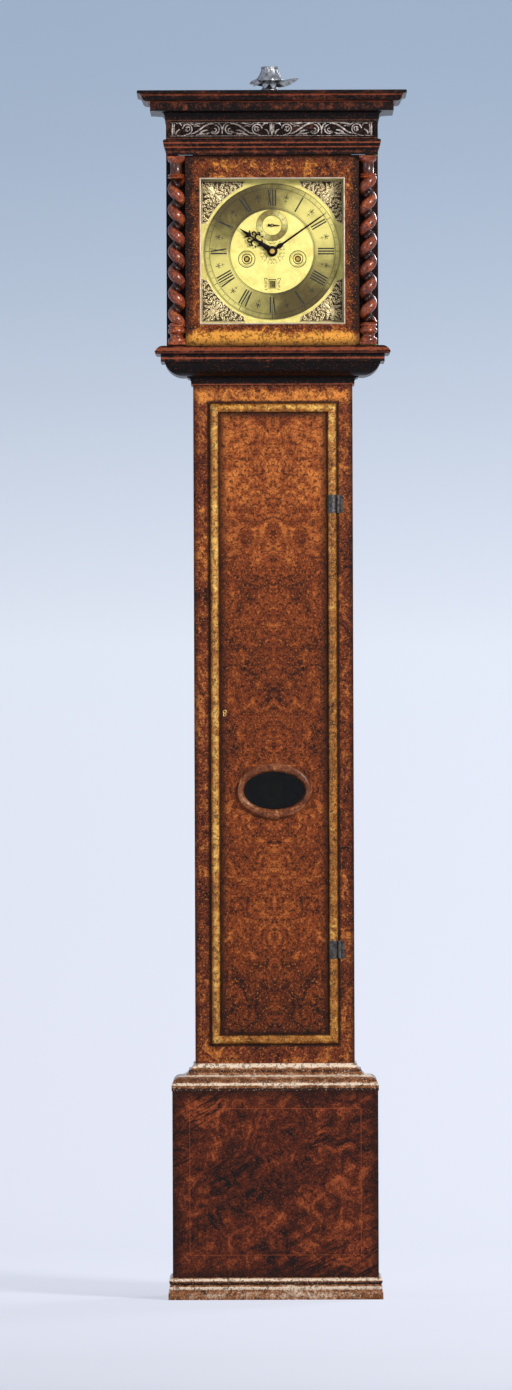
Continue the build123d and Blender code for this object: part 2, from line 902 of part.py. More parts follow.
# Hood door: frame with its rebate for the glass
door_low = dial_z - door_open_high / 2
door_high = dial_z + door_open_high / 2
rebate_wide = 6.0
door_glass_y = hood_door_front + 11.5
with BuildPart() as hood_door_frame:
    block(
        -door_stile_edge, door_stile_edge, hood_door_front, hood_door_back,
        hood_door_bottom, hood_door_top,
    )
    block(
        -door_open_half, door_open_half, hood_door_front - 1, hood_door_back + 1,
        door_low, door_high, mode=Mode.SUBTRACT,
    )
    block(
        -door_open_half - rebate_wide, door_open_half + rebate_wide, door_glass_y,
        hood_door_back + 1, door_low - rebate_wide, door_high + rebate_wide,
        mode=Mode.SUBTRACT,
    )
    for low in (hood_door_top - strap_thick, hood_door_bottom):
        block(
            door_stile_edge - 30, door_stile_edge + 1, pin_y - strap_wide / 2,
            pin_y + strap_wide / 2, low, low + strap_thick, mode=Mode.SUBTRACT,
        )
finish(hood_door_frame, "hood_door_frame")

with BuildPart() as hood_door_bead:
    framed_moulding(
        door_open_half,
        door_low,
        door_high,
        hood_door_front + 1.0,
        (0, 0),
        (
            (0.4, 0.8, 0, bead_wide),
            (-8.0, bead_wide),
            (-8.0, 0),
        ),
        24.0,
    )
finish(hood_door_bead, "hood_door_bead")

with BuildPart() as hood_door_glass:
    block(
        -door_open_half - rebate_wide + 0.3, door_open_half + rebate_wide - 0.3,
        door_glass_y, door_glass_y + glass_thick,
        door_low - rebate_wide + 0.3, door_high + rebate_wide - 0.3,
    )
finish(hood_door_glass, "hood_door_glass")

# Brass straps let into the door's top and bottom edges, with the two pins that it turns on
with BuildPart() as hood_door_straps:
    for low, pin_low, pin_high in (
        (hood_door_top - strap_thick, hood_door_top - strap_thick, hood_door_top + pin_long),
        (hood_door_bottom, hood_door_bottom - pin_long, hood_door_bottom + strap_thick),
    ):
        block(
            door_stile_edge - 30, pin_x, pin_y - strap_wide / 2, pin_y + strap_wide / 2,
            low, low + strap_thick,
        )
        post(pin_x, pin_y, strap_wide / 2, low, low + strap_thick)
        post(pin_x, pin_y, strap_pin_radius, pin_low, pin_high)
finish(hood_door_straps, "hood_door_straps")

# Barley-twist columns at the door's edges: a nine-sided round carried about a helix, left and
# right handed, between turned bases and capitals
twist_pitch = 35.0
twist_radius = 10.4
twist_offset = 4.5
twist_turns = 7.0
twist_steps = 6  # sections to a turn
twist_sides = 9
turning_sides = 12
base_turned = 34.6
plinth_half = 14.8
plinth_high = 4.0


def twisted_column(x, hand):
    """A barley-twist column with its plinth, rings and capital."""
    low = hood_door_bottom + strap_thick
    high = hood_door_top - strap_thick
    shaft_low = low + base_turned
    shaft_high = shaft_low + twist_pitch * twist_turns
    block(
        x - plinth_half, x + plinth_half, column_y - plinth_half, column_y + plinth_half,
        low, low + plinth_high,
    )
    faceted(
        x,
        column_y,
        (
            (14.8, low + plinth_high),
            (14.8, low + plinth_high + 6.0),
            (10.8, low + plinth_high + 9.6),
            (10.8, low + plinth_high + 14.0),
            (14.8, low + plinth_high + 19.4),
            (14.8, low + plinth_high + 23.4),
            (12.2, low + plinth_high + 25.4),
            (14.9, low + plinth_high + 27.6),
            (14.9, shaft_low),
        ),
        turning_sides,
    )
    rings = []
    for step in range(round(twist_turns * twist_steps) + 1):
        turn = hand * step * 2 * math.pi / twist_steps
        at_x = x + twist_offset * math.cos(turn)
        at_y = column_y + twist_offset * math.sin(turn)
        ring = [
            (across, away, shaft_low + step * twist_pitch / twist_steps)
            for across, away in oval_points(at_x, at_y, twist_radius, twist_radius, twist_sides)
        ]
        rings.append(ring)
    skinned(rings)
    faceted(
        x,
        column_y,
        (
            (14.9, shaft_high),
            (14.9, shaft_high + 1.8),
            (12.8, shaft_high + 3.0),
            (14.6, shaft_high + 5.0),
            (10.0, shaft_high + 7.4),
            (10.0, high - 12.0),
            (11.6, high - 7.4),
            (14.2, high - plinth_high),
        ),
        turning_sides,
    )
    block(
        x - plinth_half, x + plinth_half, column_y - plinth_half, column_y + plinth_half,
        high - plinth_high, high,
    )


with BuildPart() as hood_columns:
    twisted_column(-column_x, -1)
    twisted_column(column_x, 1)
finish(hood_columns, "hood_columns")

# Dial plate with its centre hole, winding holes, seconds hole and date opening. Four feet
# are riveted to its back, and four keepers that the date ring turns between
centre_hole_radius = 6.6
winding_hole_radius = 5.3
seconds_hole_radius = 2.4
date_wide = 10.0
date_high = 12.0
date_drop = 55.5
date_inner = 51.0
date_outer = 66.0
date_thick = 1.2
date_ring_front = dial_back + 1.0
foot_radius = 3.0
foot_out = 54.0
foot_low = -70.0
foot_high = 73.0
keeper_near = date_outer * math.sqrt(0.5) + slide_gap
keeper_back = date_ring_front + date_thick + 1.4
with BuildPart() as dial_plate:
    with BuildSketch(facing(dial_back, 0, dial_z)):
        Rectangle(2 * dial_half, 2 * dial_half)
        Circle(centre_hole_radius, mode=Mode.SUBTRACT)
        with Locations((-barrel_x, barrel_z), (barrel_x, barrel_z)):
            Circle(winding_hole_radius, mode=Mode.SUBTRACT)
        with Locations((0, escape_z)):
            Circle(seconds_hole_radius, mode=Mode.SUBTRACT)
        with Locations((0, -date_drop)):
            Rectangle(date_wide, date_high, mode=Mode.SUBTRACT)
    extrude(amount=dial_thick)
    for side_x in (-1, 1):
        for z in (foot_low, foot_high):
            bar(side_x * foot_out, dial_z + z, foot_radius, dial_back - 1, front_plate_y)
        for side_z in (-1, 1):
            x = side_x * (keeper_near + 4)
            z = dial_z + side_z * (keeper_near + 4)
            block(x - 4, x + 4, dial_back - 1, keeper_back, z - 4, z + 4)
            block(
                x - 6, x + 6, keeper_back - 1.1, keeper_back, z - 6, z + 6
            )
finish(dial_plate, "dial_plate")

# Chapter ring, a flat for each minute, and seconds ring, riveted flat on the plate
chapter_outer = 114.7
chapter_inner = 70.5
chapter_thick = 2.0
seconds_outer = 26.4
seconds_inner = 16.4
seconds_ring_thick = 1.5
with BuildPart() as chapter_ring:
    with BuildSketch(facing(dial_front, 0, dial_z)):
        RegularPolygon(chapter_outer, 60)
        RegularPolygon(chapter_inner, 60, mode=Mode.SUBTRACT)
    extrude(amount=chapter_thick)
finish(chapter_ring, "chapter_ring")

with BuildPart() as seconds_ring:
    with BuildSketch(facing(dial_front, 0, dial_z + escape_z)):
        Circle(seconds_outer)
        Circle(seconds_inner, mode=Mode.SUBTRACT)
    extrude(amount=seconds_ring_thick)
finish(seconds_ring, "seconds_ring")

# Corner spandrels: pierced castings bounded by two edges of the dial and the chapter ring
spandrel_edge = 119.0
spandrel_thick = 2.4
spandrel_ring = chapter_outer + 4.0
with BuildPart() as spandrels:
    with BuildSketch(facing(dial_front, 0, dial_z)) as corner:
        for turn in (0, 90, 180, 270):
            with Locations(Location((0, 0, 0), (0, 0, turn))):
                with Locations((spandrel_edge - 37, spandrel_edge - 37)):
                    Rectangle(74, 74)
        Circle(spandrel_ring, mode=Mode.SUBTRACT)
        with PolarLocations(139.0, 4, start_angle=45):
            RegularPolygon(7.0, 8, mode=Mode.SUBTRACT)
    extrude(amount=spandrel_thick)
finish(spandrels, "spandrels")

# Date ring with 31 short teeth at its inner edge
with BuildPart() as date_ring:
    with BuildSketch(facing(date_ring_front + date_thick, 0, dial_z)):
        RegularPolygon(date_outer, 31)
        with BuildLine():
            Polyline(
                *pointed_teeth(31, date_inner, date_inner - 1.7, math.pi / 2), close=True
            )
        make_face(mode=Mode.SUBTRACT)
    extrude(amount=date_thick)
finish(date_ring, "date_ring")

# Arbors, as (across, up) from the dial centre
centre_at = (0.0, 0.0)
great_teeth = 96
centre_leaves = 8
centre_teeth = 60
third_leaves = 8
third_teeth = 56
escape_leaves = 7
escape_teeth = 30
strike_teeth = 84
strike_module = 0.9
great_at = (barrel_x, barrel_z)
strike_at = (-barrel_x, barrel_z)
escape_at = (0.0, escape_z)
pallet_at = (0.0, pallet_z)
third_at = third_corner(
    centre_at, third_module * (centre_teeth + third_leaves) / 2,
    escape_at, escape_module * (third_teeth + escape_leaves) / 2, 1,
)
minute_leaves = 6
hour_teeth = 72
cannon_teeth = 40
motion_far = hour_module * (hour_teeth + minute_leaves) / 2
minute_at = (motion_far * math.cos(math.pi / 4), motion_far * math.sin(math.pi / 4))

# Depths of the wheels between the plates
centre_wheel_y = between_front + 3.5
third_wheel_y = between_front + 10.6
barrel_y0 = between_front + 15.0
barrel_y1 = between_front + 48.4
great_wheel_y = between_front + 51.0
strike_barrel_y1 = between_front + 41.4
strike_wheel_y = between_front + 44.0
escape_wheel_y = between_front + 36.0
motion_front = front_plate_y - 6.0
cannon_wheel_y = motion_front
minute_wheel_y = cannon_wheel_y
hour_wheel_y = minute_wheel_y - 6.5
post_radius = 0.9

# Pivots and arbors
arbor_radius = 1.8
pivot_radius = 1.2
centre_front_radius = 2.4
barrel_arbor_radius = 4.0
barrel_pivot_radius = 2.5
shoulder = 0.3

# Movement plates, drilled for every pivot
crutch_slot = 7.0
suspension_z = dial_z + pallet_z
plate_corners = ((-54.0, -66.0), (54.0, -66.0), (-54.0, 79.0), (54.0, 79.0))
front_holes = (
    (centre_at, centre_front_radius),
    (third_at, pivot_radius),
    (escape_at, pivot_radius),
    (great_at, barrel_arbor_radius),
    (strike_at, barrel_arbor_radius),
    (pallet_at, pivot_radius),
)
back_holes = (
    (centre_at, pivot_radius),
    (third_at, pivot_radius),
    (escape_at, pivot_radius),
    (great_at, barrel_pivot_radius),
    (strike_at, barrel_pivot_radius),
)
with BuildPart() as movement_plates:
    for y, holes in ((front_plate_y, front_holes), (between_back, back_holes)):
        block(
            -plate_half, plate_half, y, y + plate_thick,
            dial_z - plate_below, dial_z + plate_above,
        )
        for (x, z), radius in holes:
            rod(x, dial_z + z, radius + turning_fit, y - 1, y + plate_thick + 1, Mode.SUBTRACT)
    block(
        -crutch_slot, crutch_slot, between_back - 1, back_plate_y + 1,
        suspension_z - crutch_slot, suspension_z + crutch_slot, Mode.SUBTRACT,
    )
finish(movement_plates, "movement_plates")

# Turned pillars with a knop at the middle, and the post of the minute wheel
pillar_middle = (between_front + between_back) / 2
with BuildPart() as movement_pillars:
    for x, z in plate_corners:
        faceted_along(
            x,
            dial_z + z,
            (
                (5.6, between_front),
                (3.0, between_front + 4.5),
                (3.0, pillar_middle - 6.0),
                (6.2, pillar_middle),
                (3.0, pillar_middle + 6.0),
                (3.0, between_back - 4.5),
                (5.6, between_back),
            ),
            8,
        )
    rod(minute_at[0], dial_z + minute_at[1], post_radius, hour_wheel_y - 2.4, front_plate_y)
    rod(minute_at[0], dial_z + minute_at[1], 2.7, front_plate_y - 2.4, front_plate_y)
finish(movement_pillars, "movement_pillars")

# Bell above the movement
bell_radius = 38.0
bell_wall = 2.6
bell_z = dial_z + 112
bell_y = pillar_middle
bell_top = bell_z + bell_radius
strap_back = bell_y + bell_radius + 4.0
bell_bore = 3.0


def dome(radius):
    """Half outline of a round dome, from its mouth to the flat round the bore at its top."""
    last = math.acos((bell_bore + 1.5) / radius)
    return [
        (radius * math.cos(last * part / 4), bell_z + radius * math.sin(last * part / 4))
        for part in range(5)
    ]


# Back cock: bridge on two feet that carries the anchor's back pivot and the pendulum, and
# the strap that carries the bell over the plates
cock_gap = 10.0
cock_thick = 4.0
cock_front = back_plate_y + cock_gap
with BuildPart() as cock_and_bell_stand:
    block(
        -30, 30, cock_front, cock_front + cock_thick, suspension_z - 8, suspension_z + 8
    )
    for side in (-1, 1):
        block(
            min(side * 21, side * 30), max(side * 21, side * 30), back_plate_y, cock_front,
            suspension_z - 6, suspension_z + 6,
        )
    block(
        -6, 6, cock_front + cock_thick, pendulum_y + 6, suspension_z + 7.6,
        suspension_z + 13.6,
    )
    block(-6, 6, cock_front, cock_front + cock_thick, suspension_z + 7, suspension_z + 13.6)
    block(
        -3.4, 3.4, pendulum_y - 0.25, pendulum_y + 0.25, suspension_z + 0.4,
        suspension_z + 8,
    )
    rod(
        0, suspension_z, pivot_radius + turning_fit, cock_front - 1,
        cock_front + cock_thick + 1, Mode.SUBTRACT,
    )
    block(
        -5, 5, back_plate_y, strap_back, dial_z + plate_above - 3.2, dial_z + plate_above
    )
    block(-5, 5, strap_back - 3, strap_back, dial_z + plate_above - 3.2, bell_top + 8)
    block(-5, 5, bell_y - 5, strap_back, bell_top + 5, bell_top + 8)
    post(0, bell_y, bell_bore - 0.2, bell_top - 8, bell_top + 5)
    post(0, bell_y, 5.0, dome(bell_radius)[-1][1], bell_top + 5)
finish(cock_and_bell_stand, "cock_and_bell_stand")

# Going side: the great wheel runs free on the barrel's arbor and drives the centre pinion
centre_pinion_phase = meeting_phase(toward(great_at, centre_at), centre_leaves)
with BuildPart() as going_great_wheel:
    wheel(
        great_at[0], dial_z + great_at[1], great_wheel_y, great_teeth, centre_module,
        toward(great_at, centre_at), arms=4, hub=11.0, rim=4.4, thick=2.6,
    )
    rod(
        great_at[0], dial_z + great_at[1], barrel_arbor_radius + turning_fit,
        great_wheel_y - 1, great_wheel_y + 4, Mode.SUBTRACT,
    )
finish(going_great_wheel, "going_great_wheel")

with BuildPart() as strike_great_wheel:
    wheel(
        strike_at[0], dial_z + strike_at[1], strike_wheel_y, strike_teeth, strike_module,
        math.radians(95), arms=4, hub=11.0, rim=4.4, thick=2.6,
    )
    rod(
        strike_at[0], dial_z + strike_at[1], barrel_arbor_radius + turning_fit,
        strike_wheel_y - 1, strike_wheel_y + 4, Mode.SUBTRACT,
    )
finish(strike_great_wheel, "strike_great_wheel")

square_half = 2.7
square_front = dial_front - 3.0
ratchet_thick = 1.6


def barrel(x, y1, wheel_y, label):
    """A grooved barrel with its end caps, ratchet, arbor and winding square."""
    z = dial_z + barrel_z
    with BuildPart() as drum:
        faceted_along(
            x,
            z,
            (
                (barrel_radius + 2.6, barrel_y0),
                (barrel_radius + 2.6, barrel_y0 + 1.6),
                (barrel_radius, barrel_y0 + 1.8),
                (barrel_radius, y1 - 1.8),
                (barrel_radius + 2.6, y1 - 1.6),
                (barrel_radius + 2.6, y1),
            ),
            20,
        )
        with BuildSketch(facing(y1 + ratchet_thick, x, z)) as blank:
            with BuildLine():
                Polyline(*pointed_teeth(18, 15.4, 13.6, 0.0, lean=0.06), close=True)
            make_face()
        extrude(blank.sketch, amount=ratchet_thick)
        rod(x, z, barrel_arbor_radius, front_plate_y - 3, barrel_y0)
        rod(x, z, barrel_arbor_radius, y1, wheel_y + 5.0)
        rod(x, z, barrel_pivot_radius, wheel_y + 5.0, back_plate_y)
        block(
            x - square_half, x + square_half, square_front, front_plate_y - 3,
            z - square_half, z + square_half,
        )
    finish(drum, label)


barrel(barrel_x, barrel_y1, great_wheel_y, "going_barrel")
barrel(-barrel_x, strike_barrel_y1, strike_wheel_y, "strike_barrel")

# Centre arbor: pinion at the back, wheel at the front, and the cannon that carries the
# minute hand
cannon_radius = 4.0
cannon_front = dial_front - 10.2
third_phase = meeting_phase(toward(centre_at, third_at), third_leaves)
with BuildPart() as centre_arbor:
    wheel(
        0, dial_z, centre_wheel_y, centre_teeth, third_module, toward(centre_at, third_at)
    )
    pinion(
        0, dial_z, great_wheel_y - 3.0, great_wheel_y + 6.0, centre_leaves, centre_module,
        centre_pinion_phase,
    )
    bar(0, dial_z, arbor_radius, between_front + shoulder, between_back - shoulder)
    rod(0, dial_z, pivot_radius, between_back - shoulder, back_plate_y)
    rod(0, dial_z, centre_front_radius, motion_front, between_front + shoulder)
    wheel(
        0, dial_z, cannon_wheel_y, cannon_teeth, cannon_module, toward(centre_at, minute_at),
        arms=0, thick=1.8, addendum=0.5,
    )
    rod(0, dial_z, cannon_radius, cannon_front, cannon_wheel_y + 0.4)
finish(centre_arbor, "centre_arbor")

# Third arbor
escape_phase = meeting_phase(toward(third_at, escape_at), escape_leaves)
with BuildPart() as third_arbor:
    x = third_at[0]
    z = dial_z + third_at[1]
    wheel(
        x, z, third_wheel_y, third_teeth, escape_module, toward(third_at, escape_at), hub=5.0,
        rim=2.8,
    )
    pinion(x, z, centre_wheel_y - 1.6, third_wheel_y, third_leaves, third_module, third_phase)
    bar(x, z, arbor_radius, between_front + shoulder, between_back - shoulder)
    rod(x, z, pivot_radius, front_plate_y, back_plate_y)
finish(third_arbor, "third_arbor")

# Escape arbor: thirty hooked teeth, and a long front pivot for the seconds hand
escape_root = 18.6
hand_tip_y = dial_front - 4.2
with BuildPart() as escape_arbor:
    z = dial_z + escape_z
    with BuildSketch(facing(escape_wheel_y + 1.6, 0, z)):
        with BuildLine():
            points = []
            for tooth in range(escape_teeth):
                for share, radius in (
                    (0.0, escape_root),
                    (0.14, escape_tip_radius),
                    (0.7, escape_root),
                ):
                    turn = math.pi / 2 + (tooth + share) * 2 * math.pi / escape_teeth
                    points.append((radius * math.cos(turn), radius * math.sin(turn)))
            Polyline(*points, close=True)
        make_face()
        with BuildSketch(mode=Mode.PRIVATE) as windows:
            RegularPolygon(escape_root - 2.4, 12)
            RegularPolygon(4.6, 8, mode=Mode.SUBTRACT)
            Rectangle(40, 2.4, mode=Mode.SUBTRACT)
            Rectangle(2.4, 40, mode=Mode.SUBTRACT)
        add(windows.sketch_local, mode=Mode.SUBTRACT)
    extrude(amount=1.6)
    pinion(
        0, z, third_wheel_y - 2.4, third_wheel_y + 5.0, escape_leaves, escape_module,
        escape_phase,
    )
    bar(0, z, arbor_radius - 0.3, between_front + shoulder, between_back - shoulder)
    rod(0, z, pivot_radius, hand_tip_y, back_plate_y)
finish(escape_arbor, "escape_arbor")

# Minute wheel, and the hour wheel on its pipe round the cannon
minute_phase = meeting_phase(toward(centre_at, minute_at), cannon_teeth)
hour_phase = toward(centre_at, minute_at)
with BuildPart() as minute_wheel:
    x = minute_at[0]
    z = dial_z + minute_at[1]
    wheel(
        x, z, minute_wheel_y, cannon_teeth, cannon_module, minute_phase, arms=0, thick=1.8,
        addendum=0.5,
    )
    pinion(
        x, z, hour_wheel_y - 1.6, minute_wheel_y, minute_leaves, hour_module,
        meeting_phase(toward(centre_at, minute_at), minute_leaves),
    )
    rod(x, z, post_radius + turning_fit, hour_wheel_y - 4, front_plate_y, Mode.SUBTRACT)
finish(minute_wheel, "minute_wheel")

hour_pipe_radius = 6.0
hour_hand_y = dial_front - 5.4
with BuildPart() as hour_wheel:
    wheel(
        0, dial_z, hour_wheel_y, hour_teeth, hour_module, hour_phase, hub=8.5, rim=3.0,
        thick=1.8,
    )
    rod(0, dial_z, hour_pipe_radius, hour_hand_y - 1.2, hour_wheel_y + 0.4)
    rod(
        0, dial_z, cannon_radius + turning_fit, hour_hand_y - 3, hour_wheel_y + 4,
        Mode.SUBTRACT,
    )
finish(hour_wheel, "hour_wheel")

# Hands: pierced hour hand, plain tapering minute hand, short seconds hand
hour_turn = 305.0
minute_turn = 54.8
seconds_turn = 92.0
hour_long = 67.6
minute_long = 110.7
seconds_long = 13.6
with BuildPart() as hour_hand:
    with BuildSketch(facing(hour_hand_y, 0, dial_z, hour_turn)):
        RegularPolygon(9.0, 16)
        with BuildLine():
            Polyline((-2.6, 0), (-2.0, 24), (2.0, 24), (2.6, 0), close=True)
        make_face()
        oval(0, 33, 8.4, 11.5, 14)
        for side in (-1, 1):
            oval(side * 3.3, 32.2, 2.0, 5.6, 8, Mode.SUBTRACT)
            oval(side * 8.0, 41, 4.2, 4.2, 10)
            oval(side * 8.0, 41, 2.0, 2.0, 8, Mode.SUBTRACT)
        oval(0, 48, 3.6, 3.6, 10)
        with BuildLine():
            Polyline((-2.2, 46), (0, hour_long), (2.2, 46), close=True)
        make_face()
        Circle(hour_pipe_radius + turning_fit, mode=Mode.SUBTRACT)
    extrude(amount=1.2)
finish(hour_hand, "hour_hand")

minute_hand_y = cannon_front + 1.4
with BuildPart() as minute_hand:
    with BuildSketch(facing(minute_hand_y, 0, dial_z, minute_turn)):
        Circle(6.4)
        with BuildLine():
            Polyline((-1.9, 4), (-0.5, minute_long), (0.5, minute_long), (1.9, 4), close=True)
        make_face()
        with Locations((0, 16)):
            Circle(3.4)
        Circle(cannon_radius + turning_fit, mode=Mode.SUBTRACT)
    extrude(amount=1.0)
finish(minute_hand, "minute_hand")

with BuildPart() as seconds_hand:
    with BuildSketch(facing(hand_tip_y + 1.2, 0, dial_z + escape_z, seconds_turn)):
        Circle(2.8)
        with BuildLine():
            Polyline((-0.9, 0), (-0.4, seconds_long), (0.4, seconds_long), (0.9, 0), close=True)
        make_face()
        Circle(pivot_radius + turning_fit, mode=Mode.SUBTRACT)
    extrude(amount=0.8)
finish(seconds_hand, "seconds_hand")

# Anchor: arbor, pallets that straddle the escape wheel, and the crutch behind
anchor_span = math.radians(42)
anchor_gap = 2.0
fork_z = dial_z - 8.0
rod_radius = 2.5
with BuildPart() as anchor:
    reach_x = (escape_tip_radius + anchor_gap) * math.sin(anchor_span)
    reach_z = escape_z + (escape_tip_radius + anchor_gap) * math.cos(anchor_span)
    with BuildSketch(facing(escape_wheel_y + 3.0, 0, dial_z)):
        with BuildLine():
            Polyline(
                (-4, pallet_z - 3), (-4, pallet_z + 4), (4, pallet_z + 4), (4, pallet_z - 3),
                (reach_x + 5.2, reach_z + 3), (reach_x + 3.2, reach_z - 2.6),
                (reach_x, reach_z), (reach_x - 1, reach_z + 4),
                (0, pallet_z - 9),
                (-reach_x + 1, reach_z + 4), (-reach_x, reach_z),
                (-reach_x - 3.2, reach_z - 2.6), (-reach_x - 5.2, reach_z + 3),
                close=True,
            )
        make_face()
    extrude(amount=4.4)
    bar(0, suspension_z, arbor_radius - 0.3, between_front + shoulder, cock_front - shoulder)
    rod(0, suspension_z, pivot_radius, front_plate_y, cock_front + cock_thick)
    bar(0, suspension_z, 4.0, back_plate_y + 2.0, back_plate_y + 6.0)
    block(-1.4, 1.4, back_plate_y + 2.4, back_plate_y + 5.2, fork_z - 2, suspension_z)
    block(-4.6, 4.6, back_plate_y + 2.4, back_plate_y + 6.2, fork_z - 2, fork_z + 2)
    for side in (-1, 1):
        near = side * (rod_radius + 0.4)
        far = side * (rod_radius + 2.1)
        block(
            min(near, far), max(near, far), back_plate_y + 4.0, pendulum_y + 4.0,
            fork_z - 2, fork_z + 2,
        )
finish(anchor, "anchor")

# Pendulum: suspension strip, iron rod and rating nut, and the lens-shaped brass bob
bob_z = suspension_z - pendulum_long
rod_top = suspension_z - 22
rod_end = bob_z - bob_radius - 26
with BuildPart() as pendulum_rod:
    block(
        -3.4, 3.4, pendulum_y - 0.25, pendulum_y + 0.25, rod_top - 2, suspension_z - 0.3
    )
    block(-4.4, 4.4, pendulum_y - 2.2, pendulum_y + 2.2, rod_top - 8, rod_top)
    post(0, pendulum_y, rod_radius, rod_end, rod_top - 7)
    nut_top = bob_z - bob_radius - 1
    faceted(0, pendulum_y, ((7.0, nut_top - 8), (7.0, nut_top)), 12)
finish(pendulum_rod, "pendulum_rod")

bob_profile = (
    (-1, 0.08, 1.0), (-1, 0.42, 0.9), (-1, 0.78, 0.52), (-1, 1.0, 0.1),
    (1, 1.0, 0.1), (1, 0.78, 0.52), (1, 0.42, 0.9), (1, 0.08, 1.0),
)
with BuildPart() as pendulum_bob:
    faceted_along(
        0,
        bob_z,
        [
            (bob_radius * out, pendulum_y + side * bob_half_thick * thick)
            for side, out, thick in bob_profile
        ],
        24,
    )
    post(0, pendulum_y, rod_radius + slide_fit, bob_z - 90, bob_z + 90, Mode.SUBTRACT)
finish(pendulum_bob, "pendulum_bob")

# Weights: brass cased cylinders hung from pulleys in iron stirrups
pulley_half_thick = 2.6
pulley_edge = pulley_radius + 1.6
weight_top = weight_bottom + weight_tall
pulley_z = weight_top + 12 + pulley_edge


def weight(x, label):
    """A weight with its hook, stirrup and pulley."""
    with BuildPart() as hanging:
        faceted(
            x,
            line_y,
            (
                (weight_radius, weight_bottom),
                (weight_radius, weight_top - 7.0),
                (weight_radius - 7.0, weight_top),
            ),
            20,
        )
        faceted(x, line_y, ((2.5, weight_top), (2.5, weight_top + 9.0)), 8)
        block(
            x - 3, x + 3, line_y - 5.4, line_y + 5.4, weight_top + 6, weight_top + 9.6
        )
        for side in (-1, 1):
            near = line_y + side * (pulley_half_thick + 0.3)
            far = line_y + side * 5.4
            block(x - 3, x + 3, min(near, far), max(near, far), weight_top + 6, pulley_z + 4)
        bar(x, pulley_z, 1.6, line_y - 5.4, line_y + 5.4)
        faceted_along(
            x,
            pulley_z,
            (
                (pulley_edge, line_y - pulley_half_thick),
                (run_radius - line_radius - 0.6, line_y),
                (pulley_edge, line_y + pulley_half_thick),
            ),
            16,
        )
    finish(hanging, label)


weight(strands(barrel_x)[2], "going_weight")
weight(strands(-barrel_x)[2], "strike_weight")


def gut(at, low, high):
    """An upright stretch of the line, six-sided."""
    with BuildSketch(Plane(origin=(at, line_y, low))) as section:
        RegularPolygon(line_radius, 6)
    extrude(section.sketch, amount=high - low)


# Lines: above the seatboard, the run up to each barrel and the toggle at the other end
toggle_tall = 5.0
with BuildPart() as line_ends:
    for x in (barrel_x, -barrel_x):
        falling, returning, middle = strands(x)
        gut(falling, seat_top, dial_z + barrel_z)
        block(
            returning - 8, returning + 8, line_y - 3, line_y + 3, seat_top,
            seat_top + toggle_tall,
        )
finish(line_ends, "line_ends")


def double_line(x, label):
    """The two runs between the seatboard and the pulley."""
    with BuildPart() as runs:
        for at in strands(x)[:2]:
            gut(at, pulley_z, seat_top)
    finish(runs, label)


def line_loop(x, label):
    """The half turn of the line under its pulley."""
    falling, returning, middle = strands(x)
    with BuildPart() as half_turn:
        with BuildLine() as run:
            ThreePointArc(
                (falling, line_y, pulley_z),
                (middle, line_y, pulley_z - run_radius),
                (returning, line_y, pulley_z),
            )
        with BuildSketch(Plane(origin=run.line @ 0, z_dir=(0, 0, -1))) as section:
            RegularPolygon(line_radius, 6)
        sweep(section.sketch, path=run.line)
    finish(half_turn, label)


double_line(barrel_x, "going_line")
double_line(-barrel_x, "strike_line")
line_loop(barrel_x, "going_loop")
line_loop(-barrel_x, "strike_loop")

# Bell
with BuildPart() as bell:
    faceted(0, bell_y, dome(bell_radius), 20)
    faceted(0, bell_y, dome(bell_radius - bell_wall), 20, Mode.SUBTRACT)
    post(0, bell_y, bell_bore, bell_z, bell_top, Mode.SUBTRACT)
finish(bell, "bell")
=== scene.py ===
# %% [markdown]
# A longcase clock in burr walnut, with a brass dial under a sliding hood. The joinery, the
# mouldings and the movement are already modelled to size, so this lesson adds what makes
# them look real: the finishes of wood, brass, iron and glass, and the carved, engraved and
# twisted work that is too fine for a joiner's drawing.

import math
import random
from functools import partial

import bmesh
import bpy
from mathutils import Matrix, Vector


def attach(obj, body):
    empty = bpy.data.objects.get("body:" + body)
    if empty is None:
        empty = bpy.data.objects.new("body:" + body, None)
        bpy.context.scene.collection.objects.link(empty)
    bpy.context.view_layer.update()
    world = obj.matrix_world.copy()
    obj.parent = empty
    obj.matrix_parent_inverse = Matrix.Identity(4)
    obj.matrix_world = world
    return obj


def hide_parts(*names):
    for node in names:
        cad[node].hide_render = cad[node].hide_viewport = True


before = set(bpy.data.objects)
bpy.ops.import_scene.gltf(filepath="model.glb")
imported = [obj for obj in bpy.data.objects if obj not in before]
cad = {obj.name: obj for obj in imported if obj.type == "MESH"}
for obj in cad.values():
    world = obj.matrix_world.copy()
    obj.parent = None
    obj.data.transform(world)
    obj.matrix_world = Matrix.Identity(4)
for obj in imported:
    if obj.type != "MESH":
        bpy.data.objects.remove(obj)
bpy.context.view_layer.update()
print("pieces from the workshop:", len(cad))

# %% [markdown]
# In the picture the returns of the cornice hide behind its front, so it was taken from far
# away with a long lens. The camera stands that far back here, at the height of the trunk's
# middle, and looks straight ahead, so that upright edges stay upright. Its lens is chosen so
# that the picture is 2.335 metres tall where the clock stands.

# %% Camera
view_height = 2.335
distance = 26.0
clock_front = -0.086
camera_data = bpy.data.cameras.new("eye")
camera_data.sensor_fit = "VERTICAL"
camera_data.sensor_height = 36.0
camera_data.lens = camera_data.sensor_height * distance / view_height
camera_data.clip_end = 200.0
camera = bpy.data.objects.new("eye", camera_data)
camera.location = (-0.030, clock_front - distance, 1.016)
camera.rotation_euler = (math.radians(90), math.radians(0.20), 0)
bpy.context.scene.collection.objects.link(camera)
bpy.context.scene.camera = camera
bpy.context.scene.view_settings.view_transform = "Standard"
print("lens", round(camera_data.lens, 1), "mm")

# %% [markdown]
# A material here is a small tree of nodes, and so are the shapes that are grown by rule later
# on. Writing each link by hand hides the idea behind it, so one short helper adds a node, sets
# its options and plugs in whatever feeds it.


